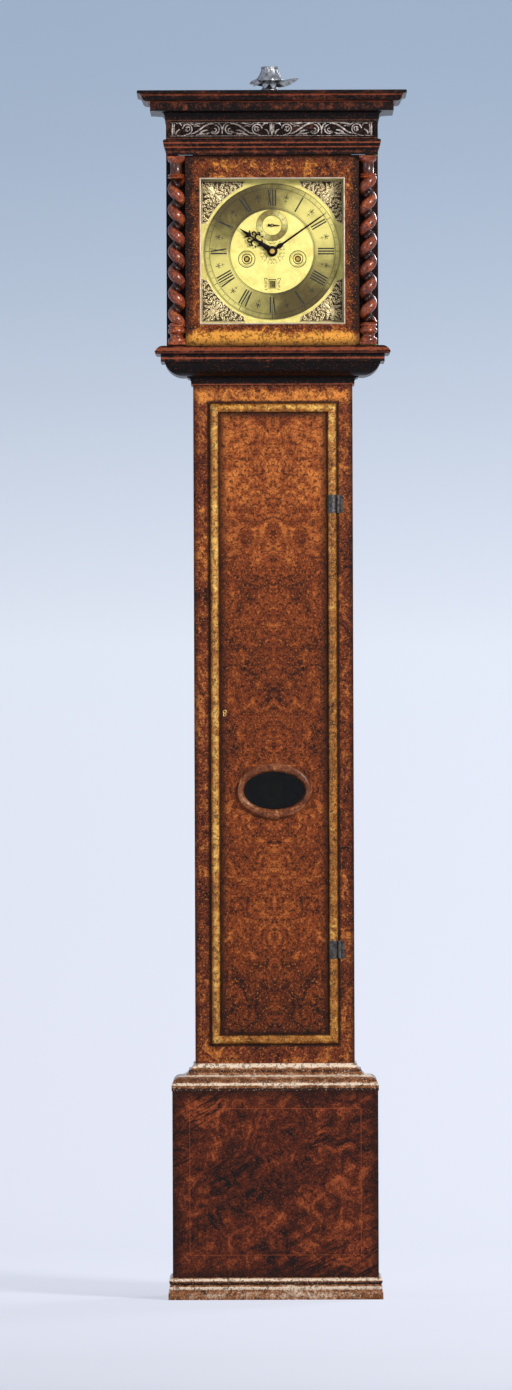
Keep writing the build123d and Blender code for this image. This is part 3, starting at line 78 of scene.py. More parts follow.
# %% A helper for trees of nodes
def plug(tree, socket, feed):
    """Links a socket to another node's output, or gives it a plain value."""
    if isinstance(feed, bpy.types.NodeSocket):
        tree.links.new(feed, socket)
    else:
        socket.default_value = feed


def add(tree, kind, feeds=None, **options):
    """Adds a node, sets its options, and feeds its sockets with values or outputs."""
    node = tree.nodes.new(kind if kind.startswith("Geometry") else "ShaderNode" + kind)
    for name, value in options.items():
        setattr(node, name, value)
    for socket, feed in (feeds or {}).items():
        plug(tree, node.inputs[socket], feed)
    return node


def maths(tree, operation, *feeds):
    """One Math node."""
    return add(tree, "Math", dict(enumerate(feeds)), operation=operation).outputs[0]


def ramp(tree, feed, stops):
    """A colour ramp with the given (position, colour) stops."""
    node = add(tree, "ValToRGB", {"Fac": feed})
    band = node.color_ramp
    while len(band.elements) < len(stops):
        band.elements.new(0.5)
    for element, (position, colour) in zip(band.elements, stops):
        element.position = position
        element.color = (*colour, 1.0)
    return node.outputs["Color"]


def blend_colours(tree, how_much, first, second, mode="MIX"):
    """One Mix node for colours."""
    node = add(tree, "Mix", data_type="RGBA", blend_type=mode)
    for identifier, feed in {"Factor_Float": how_much, "A_Color": first, "B_Color": second}.items():
        plug(tree, next(s for s in node.inputs if s.identifier == identifier), feed)
    return next(s for s in node.outputs if s.identifier == "Result_Color")


def noise(tree, place, scale, detail=4.0, rough=0.6, bend=0.0):
    """Fractal noise between 0 and 1."""
    feeds = {"Scale": scale, "Detail": detail, "Roughness": rough, "Distortion": bend}
    return add(tree, "TexNoise", {"Vector": place, **feeds}).outputs["Fac"]


def stretched(tree, place, factors, turn=(0.0, 0.0, 0.0)):
    """Coordinates turned, then stretched, so that a pattern runs along the grain."""
    level = add(tree, "Mapping", {"Vector": place, "Rotation": turn}).outputs["Vector"]
    return add(tree, "Mapping", {"Vector": level, "Scale": factors}).outputs["Vector"]


def step(tree, feed, low, high):
    """Rises smoothly from 0 at low to 1 at high."""
    feeds = {"Value": feed, "From Min": low, "From Max": high}
    return add(tree, "MapRange", feeds, interpolation_type="SMOOTHSTEP").outputs["Result"]


def linear(red, green, blue):
    """A colour read off a screen, 0 to 255, as the shader wants it."""
    return tuple(
        c / 12.92 if c <= 0.04045 else ((c + 0.055) / 1.055) ** 2.4
        for c in (red / 255, green / 255, blue / 255)
    )


def new_material(name):
    """A fresh material, its tree and the object's own coordinates in it."""
    material = bpy.data.materials.new(name)
    material.use_nodes = True
    tree = material.node_tree
    return material, tree, add(tree, "TexCoord").outputs["Object"]


def cover(material, height, strength, distance, sockets):
    """Feeds the main shader, and gives the surface a fine relief."""
    tree = material.node_tree
    bump = add(tree, "Bump", {"Height": height, "Strength": strength, "Distance": distance})
    for socket, feed in {**sockets, "Normal": bump.outputs["Normal"]}.items():
        plug(tree, tree.nodes["Principled BSDF"].inputs[socket], feed)
    return material


print("helpers ready")

# %% [markdown]
# Burr walnut is cut from a knotty growth, so its figure has no direction: clouds of tone and
# tight swirls, then a scatter of dark eyes and small golden glints. Noises of very different
# scale are added before one ramp turns them into colour. Light and shade are painted on as
# well, in the object's own coordinates: painted highlights on crowns and rails, painted shade
# in coves, along edges and in hollows, and a painted shadow round the door's raised lip. The
# French polish is thin and a little dull.


# %% Walnut
def near(tree, feed, centre, half):
    """1 at a level, fading to 0 at half a width from it."""
    away = maths(tree, "ABSOLUTE", maths(tree, "SUBTRACT", feed, centre))
    return maths(tree, "SUBTRACT", 1.0, step(tree, away, half * 0.2, half))


def walnut(
    name, dark, middle, bright, figure=30.0, flecks=300.0, grain=None, grain_part=0.0,
    contrast=1.5, mirrored=False, marks=0.7, glints=0.45, coat=0.05, rough=0.42, shine=0.14,
    lights=(), edges=None, cracks=0.0, hollow=None, corner_shadow=None, inlay=None,
):
    """Polished walnut. The lights are (axis, centre, half width, strength) faded bands of painted
    highlight, and of painted shade where the strength is below nought; edges is (half width,
    bottom, top, fade, strength) of painted shade along the edges; around is (half width,
    bottom, top, reach, strength) of painted shadow in the corner round a raised frame; hollow
    is (axis x, axis y, deep, crown) of painted shade in the hollows of a twist; and inlay is
    (half width, bottom, top) of a thin stringing line."""
    material, tree, place = new_material(name)
    calc, rise, cloud = (partial(kind, tree) for kind in (maths, step, noise))
    dark, middle, bright = (linear(*tone) for tone in (dark, middle, bright))
    black = (*[0.35 * part for part in dark], 1)
    gold = (*[min(1.0, 1.15 * part) for part in bright], 1)
    axes = add(tree, "SeparateXYZ", {"Vector": place}).outputs
    across, along, up = (axes[axis] for axis in "XYZ")
    one_side = calc("ABSOLUTE", across)
    if mirrored:
        halves = {"X": one_side, "Y": along, "Z": up}
        place = add(tree, "CombineXYZ", halves).outputs["Vector"]
    swirl = cloud(place, figure, 9.0, 0.68, 1.6)
    speck = cloud(place, flecks, 3.0, 0.75)
    total = calc("MULTIPLY_ADD", cloud(place, 6.0, 3.0, 0.55, 0.6), 0.42, -0.21)
    total = calc("MULTIPLY_ADD", swirl, 0.85, total)
    total = calc("MULTIPLY_ADD", speck, 0.45, total)
    middle_level = 0.65
    if grain:
        streaks = cloud(stretched(tree, place, *grain), 1.0, 6.0, 0.62, 0.5)
        total = calc("MULTIPLY_ADD", streaks, grain_part, total)
        middle_level += grain_part * 0.5
    # Bands of painted highlight, and of painted shade where the strength is below nought.
    for axis, centre, half, strength in lights:
        total = calc("MULTIPLY_ADD", near(tree, axes[axis], centre, half), strength, total)
    spread = 0.34 / contrast
    limits = {"From Min": middle_level - spread, "From Max": middle_level + spread}
    level = add(tree, "MapRange", {"Value": total, **limits}).outputs["Result"]
    between = tuple(0.45 * d + 0.55 * m for d, m in zip(dark, middle))
    colour = ramp(tree, level, [(0.05, dark), (0.32, between), (0.56, middle), (1.0, bright)])

    def paint(mask, strength, tone):
        """Lays a tone over the wood where the mask says."""
        nonlocal colour
        colour = blend_colours(tree, calc("MULTIPLY", mask, strength), colour, tone)

    def beyond(half, low, high):
        """How far outside a rectangle on the front a place is; inside it is negative."""
        level_gap = calc("MAXIMUM", calc("SUBTRACT", low, up), calc("SUBTRACT", up, high))
        return calc("MAXIMUM", level_gap, calc("SUBTRACT", one_side, half))

    def under(feed, low, high):
        """1 below the low level, fading to 0 at the high one."""
        return calc("SUBTRACT", 1.0, rise(feed, low, high))

    paint(rise(cloud(place, flecks * 0.6, 3.0, 0.7, 0.8), 0.51, 0.585), marks, black)
    paint(rise(cloud(place, flecks * 1.3, 2.0, 0.6, 0.4), 0.60, 0.67), glints, gold)
    if cracks:
        leaning = stretched(tree, place, (5.0, 5.0, 42.0), (0, math.radians(28), 0))
        line = near(tree, cloud(leaning, 1.0, 3.0, 0.6, 0.3), 0.5, 0.026)
        here = rise(cloud(place, 9.0, 2.0, 0.5), 0.46, 0.60)
        paint(calc("MULTIPLY", line, here), cracks, black)
    if inlay:
        paint(near(tree, beyond(*inlay), 0.0, 0.0011), 0.38, (*bright, 1))
    # Painted shade along the edges, broken up by the figure.
    if edges:
        *border, fade, strength = edges
        edge = calc("SUBTRACT", fade * 0.4, beyond(*border))
        edge = calc("MULTIPLY_ADD", swirl, -fade * 0.8, edge)
        paint(under(edge, 0.0, fade), strength, black)
    # Painted shadow in the corner round a raised frame.
    if corner_shadow:
        *border, reach, strength = corner_shadow
        paint(under(beyond(*border), reach * 0.4, reach), strength, black)
    # Painted shade, near black, in the hollows of a twisted shaft, by distance from its axis.
    if hollow:
        axis_x, axis_y, low, high = hollow
        away_x = calc("SUBTRACT", one_side, axis_x)
        away_y = calc("SUBTRACT", along, axis_y)
        square = calc("MULTIPLY_ADD", away_x, away_x, calc("MULTIPLY", away_y, away_y))
        paint(under(calc("SQRT", square), low, high), 0.9, black)
    return cover(material, calc("MULTIPLY_ADD", swirl, 0.5, speck), 0.3, 0.0006, {
        "Base Color": colour, "Roughness": calc("MULTIPLY_ADD", speck, 0.24, rough - 0.12),
        "Specular IOR Level": shine, "Coat Weight": coat, "Coat Roughness": 0.2,
    })


# The outside of the door's raised lip, as (half width, bottom, top) in metres.
lip_outside = (0.1070, 0.4284, 1.5068)
column_axis = (0.161, -0.07125)
leaning_grain = ((6.0, 6.0, 44.0), (0, math.radians(28), 0))
run_across = ((60.0, 60.0, 5.0), (0, 0, 0))
# The door panel is painted lighter high up and darker lower down, with painted shade along its
# edges inside the lip.
panel_walnut = walnut(
    "burr_walnut_door", (30, 11, 7), (130, 60, 27), (214, 126, 60), mirrored=True,
    contrast=1.55, marks=0.72, edges=(0.0915, 0.4440, 1.4912, 0.016, 0.85),
    lights=(("Z", 1.36, 0.20, 0.06), ("Z", 0.50, 0.14, -0.10), ("Z", 0.98, 0.2, -0.05)),
)
# Painted shadow round the door's lip, painted shade along the frame's outer edges, and a painted
# highlight along the top rail.
frame_walnut = walnut(
    "burr_walnut_frame", (22, 8, 6), (116, 52, 28), (222, 138, 64), contrast=1.7, marks=0.7,
    corner_shadow=(*lip_outside, 0.0060, 0.85), edges=(0.1345, 0.38, 1.541, 0.012, 0.8),
    lights=(("Z", 1.5190, 0.0170, 0.14),),
)
# Painted shade along the base's sides, above the skirting and under the surbase; the grain, cracks
# and stringing are the wood's own.
base_walnut = walnut(
    "burr_walnut_base", (16, 6, 4), (94, 39, 21), (168, 84, 46), contrast=2.0, marks=0.6,
    grain=leaning_grain, grain_part=0.4, cracks=0.85, glints=0.35,
    inlay=(0.144, 0.075, 0.321), edges=(0.1745, 0.036, 0.353, 0.028, 0.75),
)
# A painted highlight along the lower rail of the hood door, and painted shade beside the columns
# and along its edges.
hood_walnut = walnut(
    "burr_walnut_hood", (28, 10, 6), (128, 58, 28), (236, 162, 68), contrast=1.9,
    edges=(0.1465, 1.6030, 1.9240, 0.016, 0.8),
    lights=(
        ("Z", 1.6130, 0.0210, 0.30), ("X", -0.141, 0.014, -0.12), ("X", 0.141, 0.014, -0.08),
    ),
)
# The near-black tone given here to the hood's carcass and the dial mask is painted shade, behind
# the columns and round the dial.
shade_dark_walnut = walnut("shade_dark_walnut", (8, 4, 4), (36, 17, 13), (104, 50, 32), shine=0.08)
# Painted shade in the hollows of the twist.
column_walnut = walnut(
    "turned_walnut", (30, 11, 7), (142, 60, 28), (222, 128, 62), figure=60.0, marks=0.3,
    coat=0.4, rough=0.30, shine=0.3, hollow=(*column_axis, 0.0090, 0.0124),
)
# On the surbase and skirting the near-white bright tone and the light bands are painted highlights
# on the crowns, and the dark bands painted shade in the grooves.
moulding_walnut = walnut(
    "cross_grained_moulding", (52, 24, 12), (148, 92, 50), (240, 218, 194),
    grain=run_across, grain_part=0.35, coat=0.15, rough=0.34, contrast=1.2,
    lights=(
        ("Z", 0.3935, 0.0060, 0.42), ("Z", 0.3835, 0.0040, -0.22), ("Z", 0.3755, 0.0022, 0.40),
        ("Z", 0.3690, 0.0040, -0.12), ("Z", 0.3620, 0.0030, 0.42), ("Z", 0.3530, 0.0035, -0.50),
        ("Z", 0.0385, 0.0018, -0.50), ("Z", 0.0336, 0.0030, 0.46), ("Z", 0.0275, 0.0030, -0.45),
        ("Z", 0.0195, 0.0036, 0.46), ("Z", 0.0080, 0.0070, 0.06),
    ),
)
# On the dark mouldings the light bands are painted highlights on the crowns, and the dark bands
# painted shade in the coves.
dark_moulding = walnut(
    "dark_moulding", (5, 3, 3), (17, 10, 9), (140, 72, 48), marks=0.5, glints=0.3,
    grain=run_across, grain_part=0.3, coat=0.1, rough=0.4, contrast=1.1, shine=0.08,
    lights=(
        ("Z", 2.0232, 0.0026, 0.26), ("Z", 2.0050, 0.0080, 0.06), ("Z", 2.0118, 0.0014, 0.36),
        ("Z", 1.9900, 0.0090, -0.40), ("Z", 1.9438, 0.0016, 0.50), ("Z", 1.9365, 0.0015, 0.45),
        ("Z", 1.9290, 0.0030, 0.12), ("Z", 1.5970, 0.0050, 0.42), ("Z", 1.5910, 0.0012, 0.30),
        ("Z", 1.5820, 0.0024, 0.40), ("Z", 1.5560, 0.0180, -0.40), ("Z", 1.5385, 0.0018, 0.40),
    ),
)
# The two light bands are painted highlights on the beads above and below the carving.
frieze_ground = walnut(
    "sunk_ground", (6, 4, 4), (20, 12, 10), (90, 56, 44), shine=0.06,
    lights=(("Z", 1.9815, 0.0014, 0.5), ("Z", 1.9515, 0.0013, 0.4)),
)
# The pale, near-white tone of the carving is painted highlight on its polished crowns.
carving_with_painted_highlight = walnut(
    "carving_with_painted_highlight", (50, 38, 34), (168, 154, 146), (250, 244, 238), figure=90.0, coat=0.2,
    rough=0.32, shine=0.3,
)
# Painted highlights along the crowns of the lip, and painted shade along its outer and inner edges.
lip_walnut = walnut(
    "door_moulding", (44, 18, 8), (172, 106, 44), (250, 200, 104),
    grain=((8.0, 40.0, 70.0), (0, 0, 0)), grain_part=0.3, coat=0.15, rough=0.34, contrast=1.3,
    edges=(*lip_outside, 0.0026, 0.8), corner_shadow=(0.0905, 0.4449, 1.4903, 0.0032, 0.85),
    lights=(("X", -0.0985, 0.0070, 0.10), ("Z", 1.5000, 0.0050, 0.12)),
)
ring_walnut = walnut(
    "lenticle_ring_walnut", (30, 12, 8), (124, 66, 38), (216, 150, 96), glints=0.15,
    marks=0.4, coat=0.2, rough=0.32,
)
print("walnut finishes made")

# %% [markdown]
# Oak is plainer: it is used where it does not show, in the backboard and the seatboard. Long
# streaks along the board and short dark pores are enough.


# %% Oak
def oak(name, along, tone):
    """Old unpolished oak, its grain along one axis."""
    material, tree, place = new_material(name)
    tone = linear(*tone)

    def fibres(thin, long, detail, rough, bend):
        """Noise drawn out along the grain."""
        stretch = [long if axis == along else thin for axis in "XYZ"]
        return noise(tree, stretched(tree, place, stretch), 1.0, detail, rough, bend)

    streaks = fibres(34.0, 1.6, 8.0, 0.66, 1.0)
    pores = fibres(900.0, 40.0, 2.0, 0.5, 0.0)
    dark, bright = (tuple(min(1.0, share * t) for t in tone) for share in (0.35, 1.6))
    colour = ramp(tree, streaks, [(0.25, dark), (0.5, tone), (0.8, bright)])
    pore = maths(tree, "MULTIPLY", step(tree, pores, 0.56, 0.68), 0.55)
    colour = blend_colours(tree, pore, colour, (*[0.25 * t for t in tone], 1))
    return cover(material, pores, 0.3, 0.0005, {"Base Color": colour, "Roughness": 0.75})


oak_upright = oak("oak_upright", "Z", (120, 84, 52))
oak_across = oak("oak_across", "X", (128, 90, 56))

# %% [markdown]
# The metals differ mostly in how they were finished. Brass is turned, matted or simply aged,
# so its colour drifts towards brown in the hollows; iron is forged and blackened; the steel
# arbors are polished. One recipe with a few dials covers them all.


# %% Metals
def metal(
    name, base, tarnish, rough, patch=40.0, grit=900.0, depth=0.3, amount=0.6, metallic=1.0
):
    """Aged metal: a bright colour that tarnishes in patches, over a fine grit."""
    material, tree, place = new_material(name)
    patches = noise(tree, place, patch, 6.0, 0.62, 0.6)
    fine = noise(tree, place, grit, 3.0, 0.7)
    mixed = maths(tree, "MULTIPLY_ADD", fine, 0.45, maths(tree, "MULTIPLY", patches, 0.75))
    share = maths(tree, "MULTIPLY", step(tree, mixed, 0.46, 0.78), amount)
    colour = blend_colours(tree, share, (*linear(*base), 1), (*linear(*tarnish), 1))
    dull = maths(tree, "MULTIPLY_ADD", mixed, 0.35, rough - 0.15)
    sockets = {"Base Color": colour, "Metallic": metallic, "Roughness": dull}
    return cover(material, fine, depth, 0.0002, sockets)


def turned_brass_with_painted_sheen(name, bright, dull, centre):
    """Brass turned in a lathe: fine circles, and a painted reflection of two opposite sectors that
    are brighter and two that are duller.
    """
    material, tree, place = new_material(name)
    calc = partial(maths, tree)
    bright, dull = linear(*bright), linear(*dull)
    axes = add(tree, "SeparateXYZ", {"Vector": place}).outputs
    up = calc("SUBTRACT", axes["Z"], centre)
    across = axes["X"]
    square = calc("MULTIPLY_ADD", across, across, calc("MULTIPLY", up, up))
    # The two bright and two dull sectors round the centre are a painted reflection.
    angle = calc("ARCTAN2", across, up)
    wave = calc("COSINE", calc("MULTIPLY_ADD", angle, 2.0, -math.radians(120)))
    patches = noise(tree, place, 26.0, 5.0, 0.62, 0.6)
    level = calc("MULTIPLY_ADD", wave, 0.34, calc("MULTIPLY", patches, 0.7))
    circles = add(tree, "CombineXYZ", {"X": calc("SQRT", square)}).outputs["Vector"]
    fine = noise(tree, circles, 2600.0, 3.0, 0.8)
    level = calc("MULTIPLY_ADD", fine, 0.22, level)
    between = tuple(0.6 * d + 0.4 * b for d, b in zip(dull, bright))
    colour = ramp(tree, step(tree, level, 0.12, 0.86), [(0.0, dull), (0.5, between), (1.0, bright)])
    sockets = {"Base Color": colour, "Metallic": 0.85, "Roughness": 0.42}
    return cover(material, fine, 0.35, 0.0001, sockets)


ring_brass = turned_brass_with_painted_sheen("chapter_ring_brass", (228, 214, 124), (88, 76, 44), 1.7625)
small_ring_brass = turned_brass_with_painted_sheen("seconds_ring_brass", (232, 220, 136), (140, 124, 66), 1.8063)
matted_gilt = metal(
    "matted_gilt", (238, 226, 140), (196, 176, 84), 0.55, patch=60.0, grit=2600.0, depth=0.9,
    amount=0.5, metallic=0.75,
)
plate_brass = metal("movement_brass", (214, 178, 96), (128, 92, 40), 0.35)
cast_gilt = metal(
    "spandrel_gilt", (240, 222, 168), (158, 122, 66), 0.36, metallic=0.6, patch=90.0
)
forged_iron = metal(
    "forged_iron", (92, 88, 86), (20, 16, 15), 0.44, patch=240.0, depth=0.8, amount=0.9
)
blued_steel = metal("blued_steel", (34, 26, 26), (14, 10, 12), 0.36)
bright_steel = metal("bright_steel", (200, 200, 205), (110, 108, 108), 0.28)
silvered = metal(
    "silvered_casting", (176, 178, 180), (70, 70, 72), 0.36, patch=160.0, amount=0.85
)
bell_metal = metal("bell_metal", (196, 168, 110), (120, 96, 60), 0.25)
bead_metal = metal(
    "worn_bead", (206, 190, 170), (120, 96, 70), 0.45, amount=0.7, metallic=0.5
)
gut = metal("gut_line", (186, 142, 82), (120, 84, 44), 0.5, metallic=0.0)
lead_shell = metal("weight_brass", (206, 170, 86), (150, 112, 48), 0.26, patch=12.0)
black_wax_and_shade = metal("engravers_wax_and_shade", (9, 8, 6), (26, 23, 14), 0.55, metallic=0.0)
shadow_brass = metal(
    "painted_shade_ground", (92, 72, 42), (40, 30, 18), 0.7, amount=0.8, metallic=0.3
)
print("metal finishes made")

# %% [markdown]
# Old glass is thin and slightly wavy. The lamps must reach the dial straight through it, so the
# pane is mostly see-through, and only the small rest of it shines, with a faint ripple.


# %% Glass
def glass(name, tint, ripple, see):
    """Clear pane with a gentle ripple."""
    material, tree, place = new_material(name)
    return cover(material, noise(tree, place, 14.0, 2.0, 0.5), ripple, 0.001, {
        "Base Color": (*tint, 1), "Roughness": 0.02, "Transmission Weight": 1.0, "IOR": 1.3,
        "Alpha": see,
    })


pane = glass("old_glass", (0.97, 0.98, 0.97), 0.15, 0.06)
# The lenticle's pane is near black and mostly opaque: painted shade of the dark trunk behind it.
shade_dark_pane = glass("lenticle_shade_glass", (0.03, 0.03, 0.03), 0.3, 0.82)

# %% [markdown]
# Each modelled piece now takes its finish. A piece keeps its shape; only what covers it
# changes, so one table from piece to finish is all this step needs.

# %% Finishes of the modelled pieces
finishes = {
    panel_walnut: ["trunk_door_panel"],
    frame_walnut: ["trunk_frame", "trunk_sides"],
    base_walnut: ["base_carcass"],
    hood_walnut: ["hood_door_frame"],
    shade_dark_walnut: ["hood_carcass", "dial_mask"],
    column_walnut: ["hood_columns"],
    moulding_walnut: ["surbase_moulding", "base_skirting"],
    ring_walnut: ["lenticle_ring"],
    dark_moulding: ["hood_base_moulding", "throat_moulding", "hood_architrave", "hood_cornice"],
    frieze_ground: ["hood_frieze"],
    lip_walnut: ["trunk_door_moulding"],
    oak_upright: ["backboard"],
    oak_across: ["seatboard"],
    ring_brass: ["chapter_ring", "date_ring"],
    small_ring_brass: ["seconds_ring"],
    matted_gilt: ["dial_plate"],
    cast_gilt: ["spandrels"],
    plate_brass: [
        "movement_plates", "movement_pillars", "going_great_wheel", "strike_great_wheel",
        "going_barrel", "strike_barrel", "minute_wheel", "hour_wheel", "pendulum_bob",
        "hood_door_straps", "centre_arbor", "third_arbor", "escape_arbor", "cock_and_bell_stand",
    ],
    forged_iron: [
        "trunk_hinge_fixed", "trunk_hinge_leaves", "trunk_lock", "lock_bolt", "pendulum_rod",
    ],
    blued_steel: ["hour_hand", "minute_hand", "seconds_hand"],
    bright_steel: ["anchor"],
    silvered: ["crest_base"],
    bell_metal: ["bell"],
    bead_metal: ["hood_door_bead"],
    gut: ["going_line", "strike_line", "going_loop", "strike_loop", "line_ends"],
    lead_shell: ["going_weight", "strike_weight"],
    pane: ["hood_door_glass", "hood_side_glass"],
    shade_dark_pane: ["lenticle_glass"],
}
dressed = set()
for finish, names in finishes.items():
    for name in names:
        slots = cad[name].data.materials
        slots.clear()
        slots.append(finish)
        dressed.add(name)
print("bare pieces:", sorted(set(cad) - dressed))

# %% [markdown]
# Everything from here on is work that a joiner's drawing leaves out: turning, twisting,
# carving, engraving. Each finished piece is one plain mesh at the origin, takes its finish and
# rides on the body that carries it. One helper does that for all.


# %% A helper for finished pieces
def place_piece(name, mesh, finish, body, slot, smooth, *instead_of):
    """Welds a mesh, turns its faces outwards and hangs it on a body of the clock."""
    welded = bmesh.new()
    welded.from_mesh(mesh)
    bmesh.ops.remove_doubles(welded, verts=welded.verts, dist=0.000002)
    bmesh.ops.dissolve_degenerate(welded, edges=welded.edges, dist=0.000001)
    bmesh.ops.recalc_face_normals(welded, faces=welded.faces)
    sharp = math.radians(smooth)
    for face in welded.faces:
        face.smooth = True
    for edge in welded.edges:
        edge.smooth = edge.is_manifold and edge.calc_face_angle(0.0) < sharp
    welded.to_mesh(mesh)
    welded.free()
    mesh.name = name
    mesh.materials.clear()
    mesh.materials.append(finish)
    piece = bpy.data.objects.new(name, mesh)
    bpy.context.scene.collection.objects.link(piece)
    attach(piece, body)
    if instead_of:
        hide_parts(*instead_of)
    print(name, len(mesh.polygons), "faces")


def as_mesh(shape, name="shape"):
    """Turns a bmesh into a mesh and frees it."""
    mesh = bpy.data.meshes.new(name)
    shape.to_mesh(mesh)
    shape.free()
    return mesh


def merge_meshes(meshes):
    """Several baked meshes as one."""
    whole = bmesh.new()
    for mesh in meshes:
        whole.from_mesh(mesh)
        bpy.data.meshes.remove(mesh)
    return as_mesh(whole)


# %% [markdown]
# Turned work is an outline carried round an axis. Writing the ring of points directly keeps
# the seam closed and the poles welded, which a Screw or Spin would leave to be cleaned up.


# %% Turned outlines
def lathe(shape, outline, centre=(0, 0, 0), along="Z", sides=48):
    """Adds a turned solid to a bmesh. The outline is (radius, distance along the axis)."""
    rings = []
    for radius, reach in outline:
        ring = []
        for side in range(sides):
            turn = 2 * math.pi * side / sides
            across, away = radius * math.cos(turn), radius * math.sin(turn)
            offset = (across, away, reach) if along == "Z" else (across, reach, away)
            ring.append(shape.verts.new(Vector(centre) + Vector(offset)))
        rings.append(ring)
    for low, high in zip(rings, rings[1:]):
        for side in range(sides):
            beyond = (side + 1) % sides
            shape.faces.new((low[side], low[beyond], high[beyond], high[side]))
    return rings


print("turning helpers ready")

# %% [markdown]
# A barley-twist column is turned round first, and then its shaft is sawn and rasped into a
# helix by hand: the left column winds one way and the right column the other. The shaft
# follows a plain rule, a round bar whose middle runs round the axis once in each pitch, so a
# Geometry Nodes tree makes it from a few sizes. Changing the pitch or the hand is then one
# number, where a modelled shaft would have to be rebuilt.


# %% A node tree for the twisted shaft
def new_tree(name, inputs):
    """A geometry tree with named numbers to feed it: itself, their keys, and its two ends."""
    tree = bpy.data.node_groups.new(name, "GeometryNodeTree")
    for end in ("INPUT", "OUTPUT"):
        tree.interface.new_socket("Geometry", in_out=end, socket_type="NodeSocketGeometry")
    keys = {}
    for label, value in inputs.items():
        kind = "NodeSocketInt" if isinstance(value, int) else "NodeSocketFloat"
        socket = tree.interface.new_socket(label, in_out="INPUT", socket_type=kind)
        socket.default_value = value
        keys[label] = socket.identifier
    start, end = tree.nodes.new("NodeGroupInput"), tree.nodes.new("NodeGroupOutput")
    return tree, keys, start.outputs, end.inputs[0]


def bake(tree, keys, values, start=None):
    """Runs a tree once on an object and hands back the plain mesh that it made."""
    carrier = bpy.data.objects.new("carrier", start or bpy.data.meshes.new("carrier"))
    bpy.context.scene.collection.objects.link(carrier)
    modifier = carrier.modifiers.new("grow", "NODES")
    modifier.node_group = tree
    for label, value in values.items():
        modifier[keys[label]] = value
    bpy.context.view_layer.update()
    seen = carrier.evaluated_get(bpy.context.evaluated_depsgraph_get())
    mesh = bpy.data.meshes.new_from_object(seen)
    carrier.modifiers.remove(modifier)
    bpy.data.objects.remove(carrier)
    return mesh


twist, twist_keys, given, result = new_tree("barley_twist", {
    "Foot": 0.0, "Length": 0.245, "Pitch": 0.035, "Hand": 1.0, "Radius": 0.0098,
    "Offset": 0.0050, "Rows": 190, "Sides": 26,
})
twist_add, twist_maths = partial(add, twist), partial(maths, twist)
top = twist_add("CombineXYZ", {"Z": given["Length"]}).outputs[0]
axis = twist_add("GeometryNodeCurvePrimitiveLine", {"End": top}).outputs[0]
rows = twist_add("GeometryNodeResampleCurve", {"Curve": axis, "Count": given["Rows"]}).outputs[0]
here = twist_add("GeometryNodeInputPosition").outputs[0]
level = twist_add("SeparateXYZ", {0: here}).outputs["Z"]
turns = twist_maths("MULTIPLY", twist_maths("DIVIDE", level, given["Pitch"]), 2 * math.pi)
angle = twist_maths("MULTIPLY", turns, given["Hand"])
out_x, out_y = (
    twist_maths("MULTIPLY", twist_maths(wave, angle), given["Offset"])
    for wave in ("COSINE", "SINE")
)
shift = twist_add("CombineXYZ", {"X": out_x, "Y": out_y, "Z": given["Foot"]}).outputs[0]
helix = twist_add("GeometryNodeSetPosition", {"Geometry": rows, "Offset": shift}).outputs[0]
size = {"Resolution": given["Sides"], "Radius": given["Radius"]}
section = twist_add("GeometryNodeCurvePrimitiveCircle", size).outputs[0]
carried = {"Curve": helix, "Profile Curve": section, "Fill Caps": True}
plug(twist, result, twist_add("GeometryNodeCurveToMesh", carried).outputs[0])
print("twist inputs:", ", ".join(twist_keys))

# %% [markdown]
# Each column is the baked shaft between a turned base and a turned capital, with a square
# plinth at either end. The turned outlines follow the photograph: two rings and a hollow at
# the foot, and a plain drum under the top moulding.

# %% Columns
door_low, door_high = 1.6051, 1.9219
shaft_low, shaft_high = 1.6397, 1.8847
plinth_wide, plinth_tall = 0.0296, 0.004
column_foot = [
    (0.0, 4.0), (14.6, 4.0), (14.8, 4.6), (14.8, 9.2), (14.2, 10.2), (11.4, 11.6), (10.6, 14.0),
    (11.0, 17.0), (12.2, 18.6), (13.6, 19.2), (14.7, 21.0), (14.8, 23.4), (14.4, 25.6),
    (13.4, 27.2), (12.2, 27.8), (12.1, 29.4), (12.6, 30.0), (14.2, 30.6), (14.8, 31.8),
    (14.2, 33.4), (12.0, 34.2), (11.0, 36.4), (0.0, 38.0),
]
column_head = [
    (0.0, -3.0), (9.6, -2.0), (11.6, -0.4), (13.8, 0.0), (14.7, 1.2), (14.2, 2.4), (12.8, 3.0),
    (12.6, 3.6), (13.6, 4.2), (14.4, 5.2), (13.6, 6.4), (11.0, 7.4), (10.0, 8.4), (9.8, 18.0),
    (9.8, 23.8), (10.2, 25.6), (11.6, 27.2), (13.4, 28.6), (14.4, 31.0), (14.6, 33.2), (0.0, 33.2),
]
for side, hand in (("left", -1), ("right", 1)):
    column = bmesh.new()
    column.from_mesh(bake(twist, twist_keys, {"Foot": shaft_low, "Hand": float(hand)}))
    for base, outline in ((door_low, column_foot), (shaft_high, column_head)):
        lathe(column, [(r / 1000, base + z / 1000) for r, z in outline])
    for level in (door_low, door_high - plinth_tall):
        block = bmesh.ops.create_cube(column, size=1.0)["verts"]
        for corner in block:
            x, y, z = corner.co
            corner.co = (x * plinth_wide, y * plinth_wide, level + (z + 0.5) * plinth_tall)
        edges = {e for v in block for e in v.link_edges}
        bmesh.ops.bevel(column, geom=list(edges), offset=0.0005, segments=2, affect="EDGES")
    move = (hand * column_axis[0], column_axis[1], 0)
    bmesh.ops.translate(column, verts=column.verts, vec=move)
    name = side + "_column"
    place_piece(name, as_mesh(column), column_walnut, "hood_door", "walnut", 50, "hood_columns")

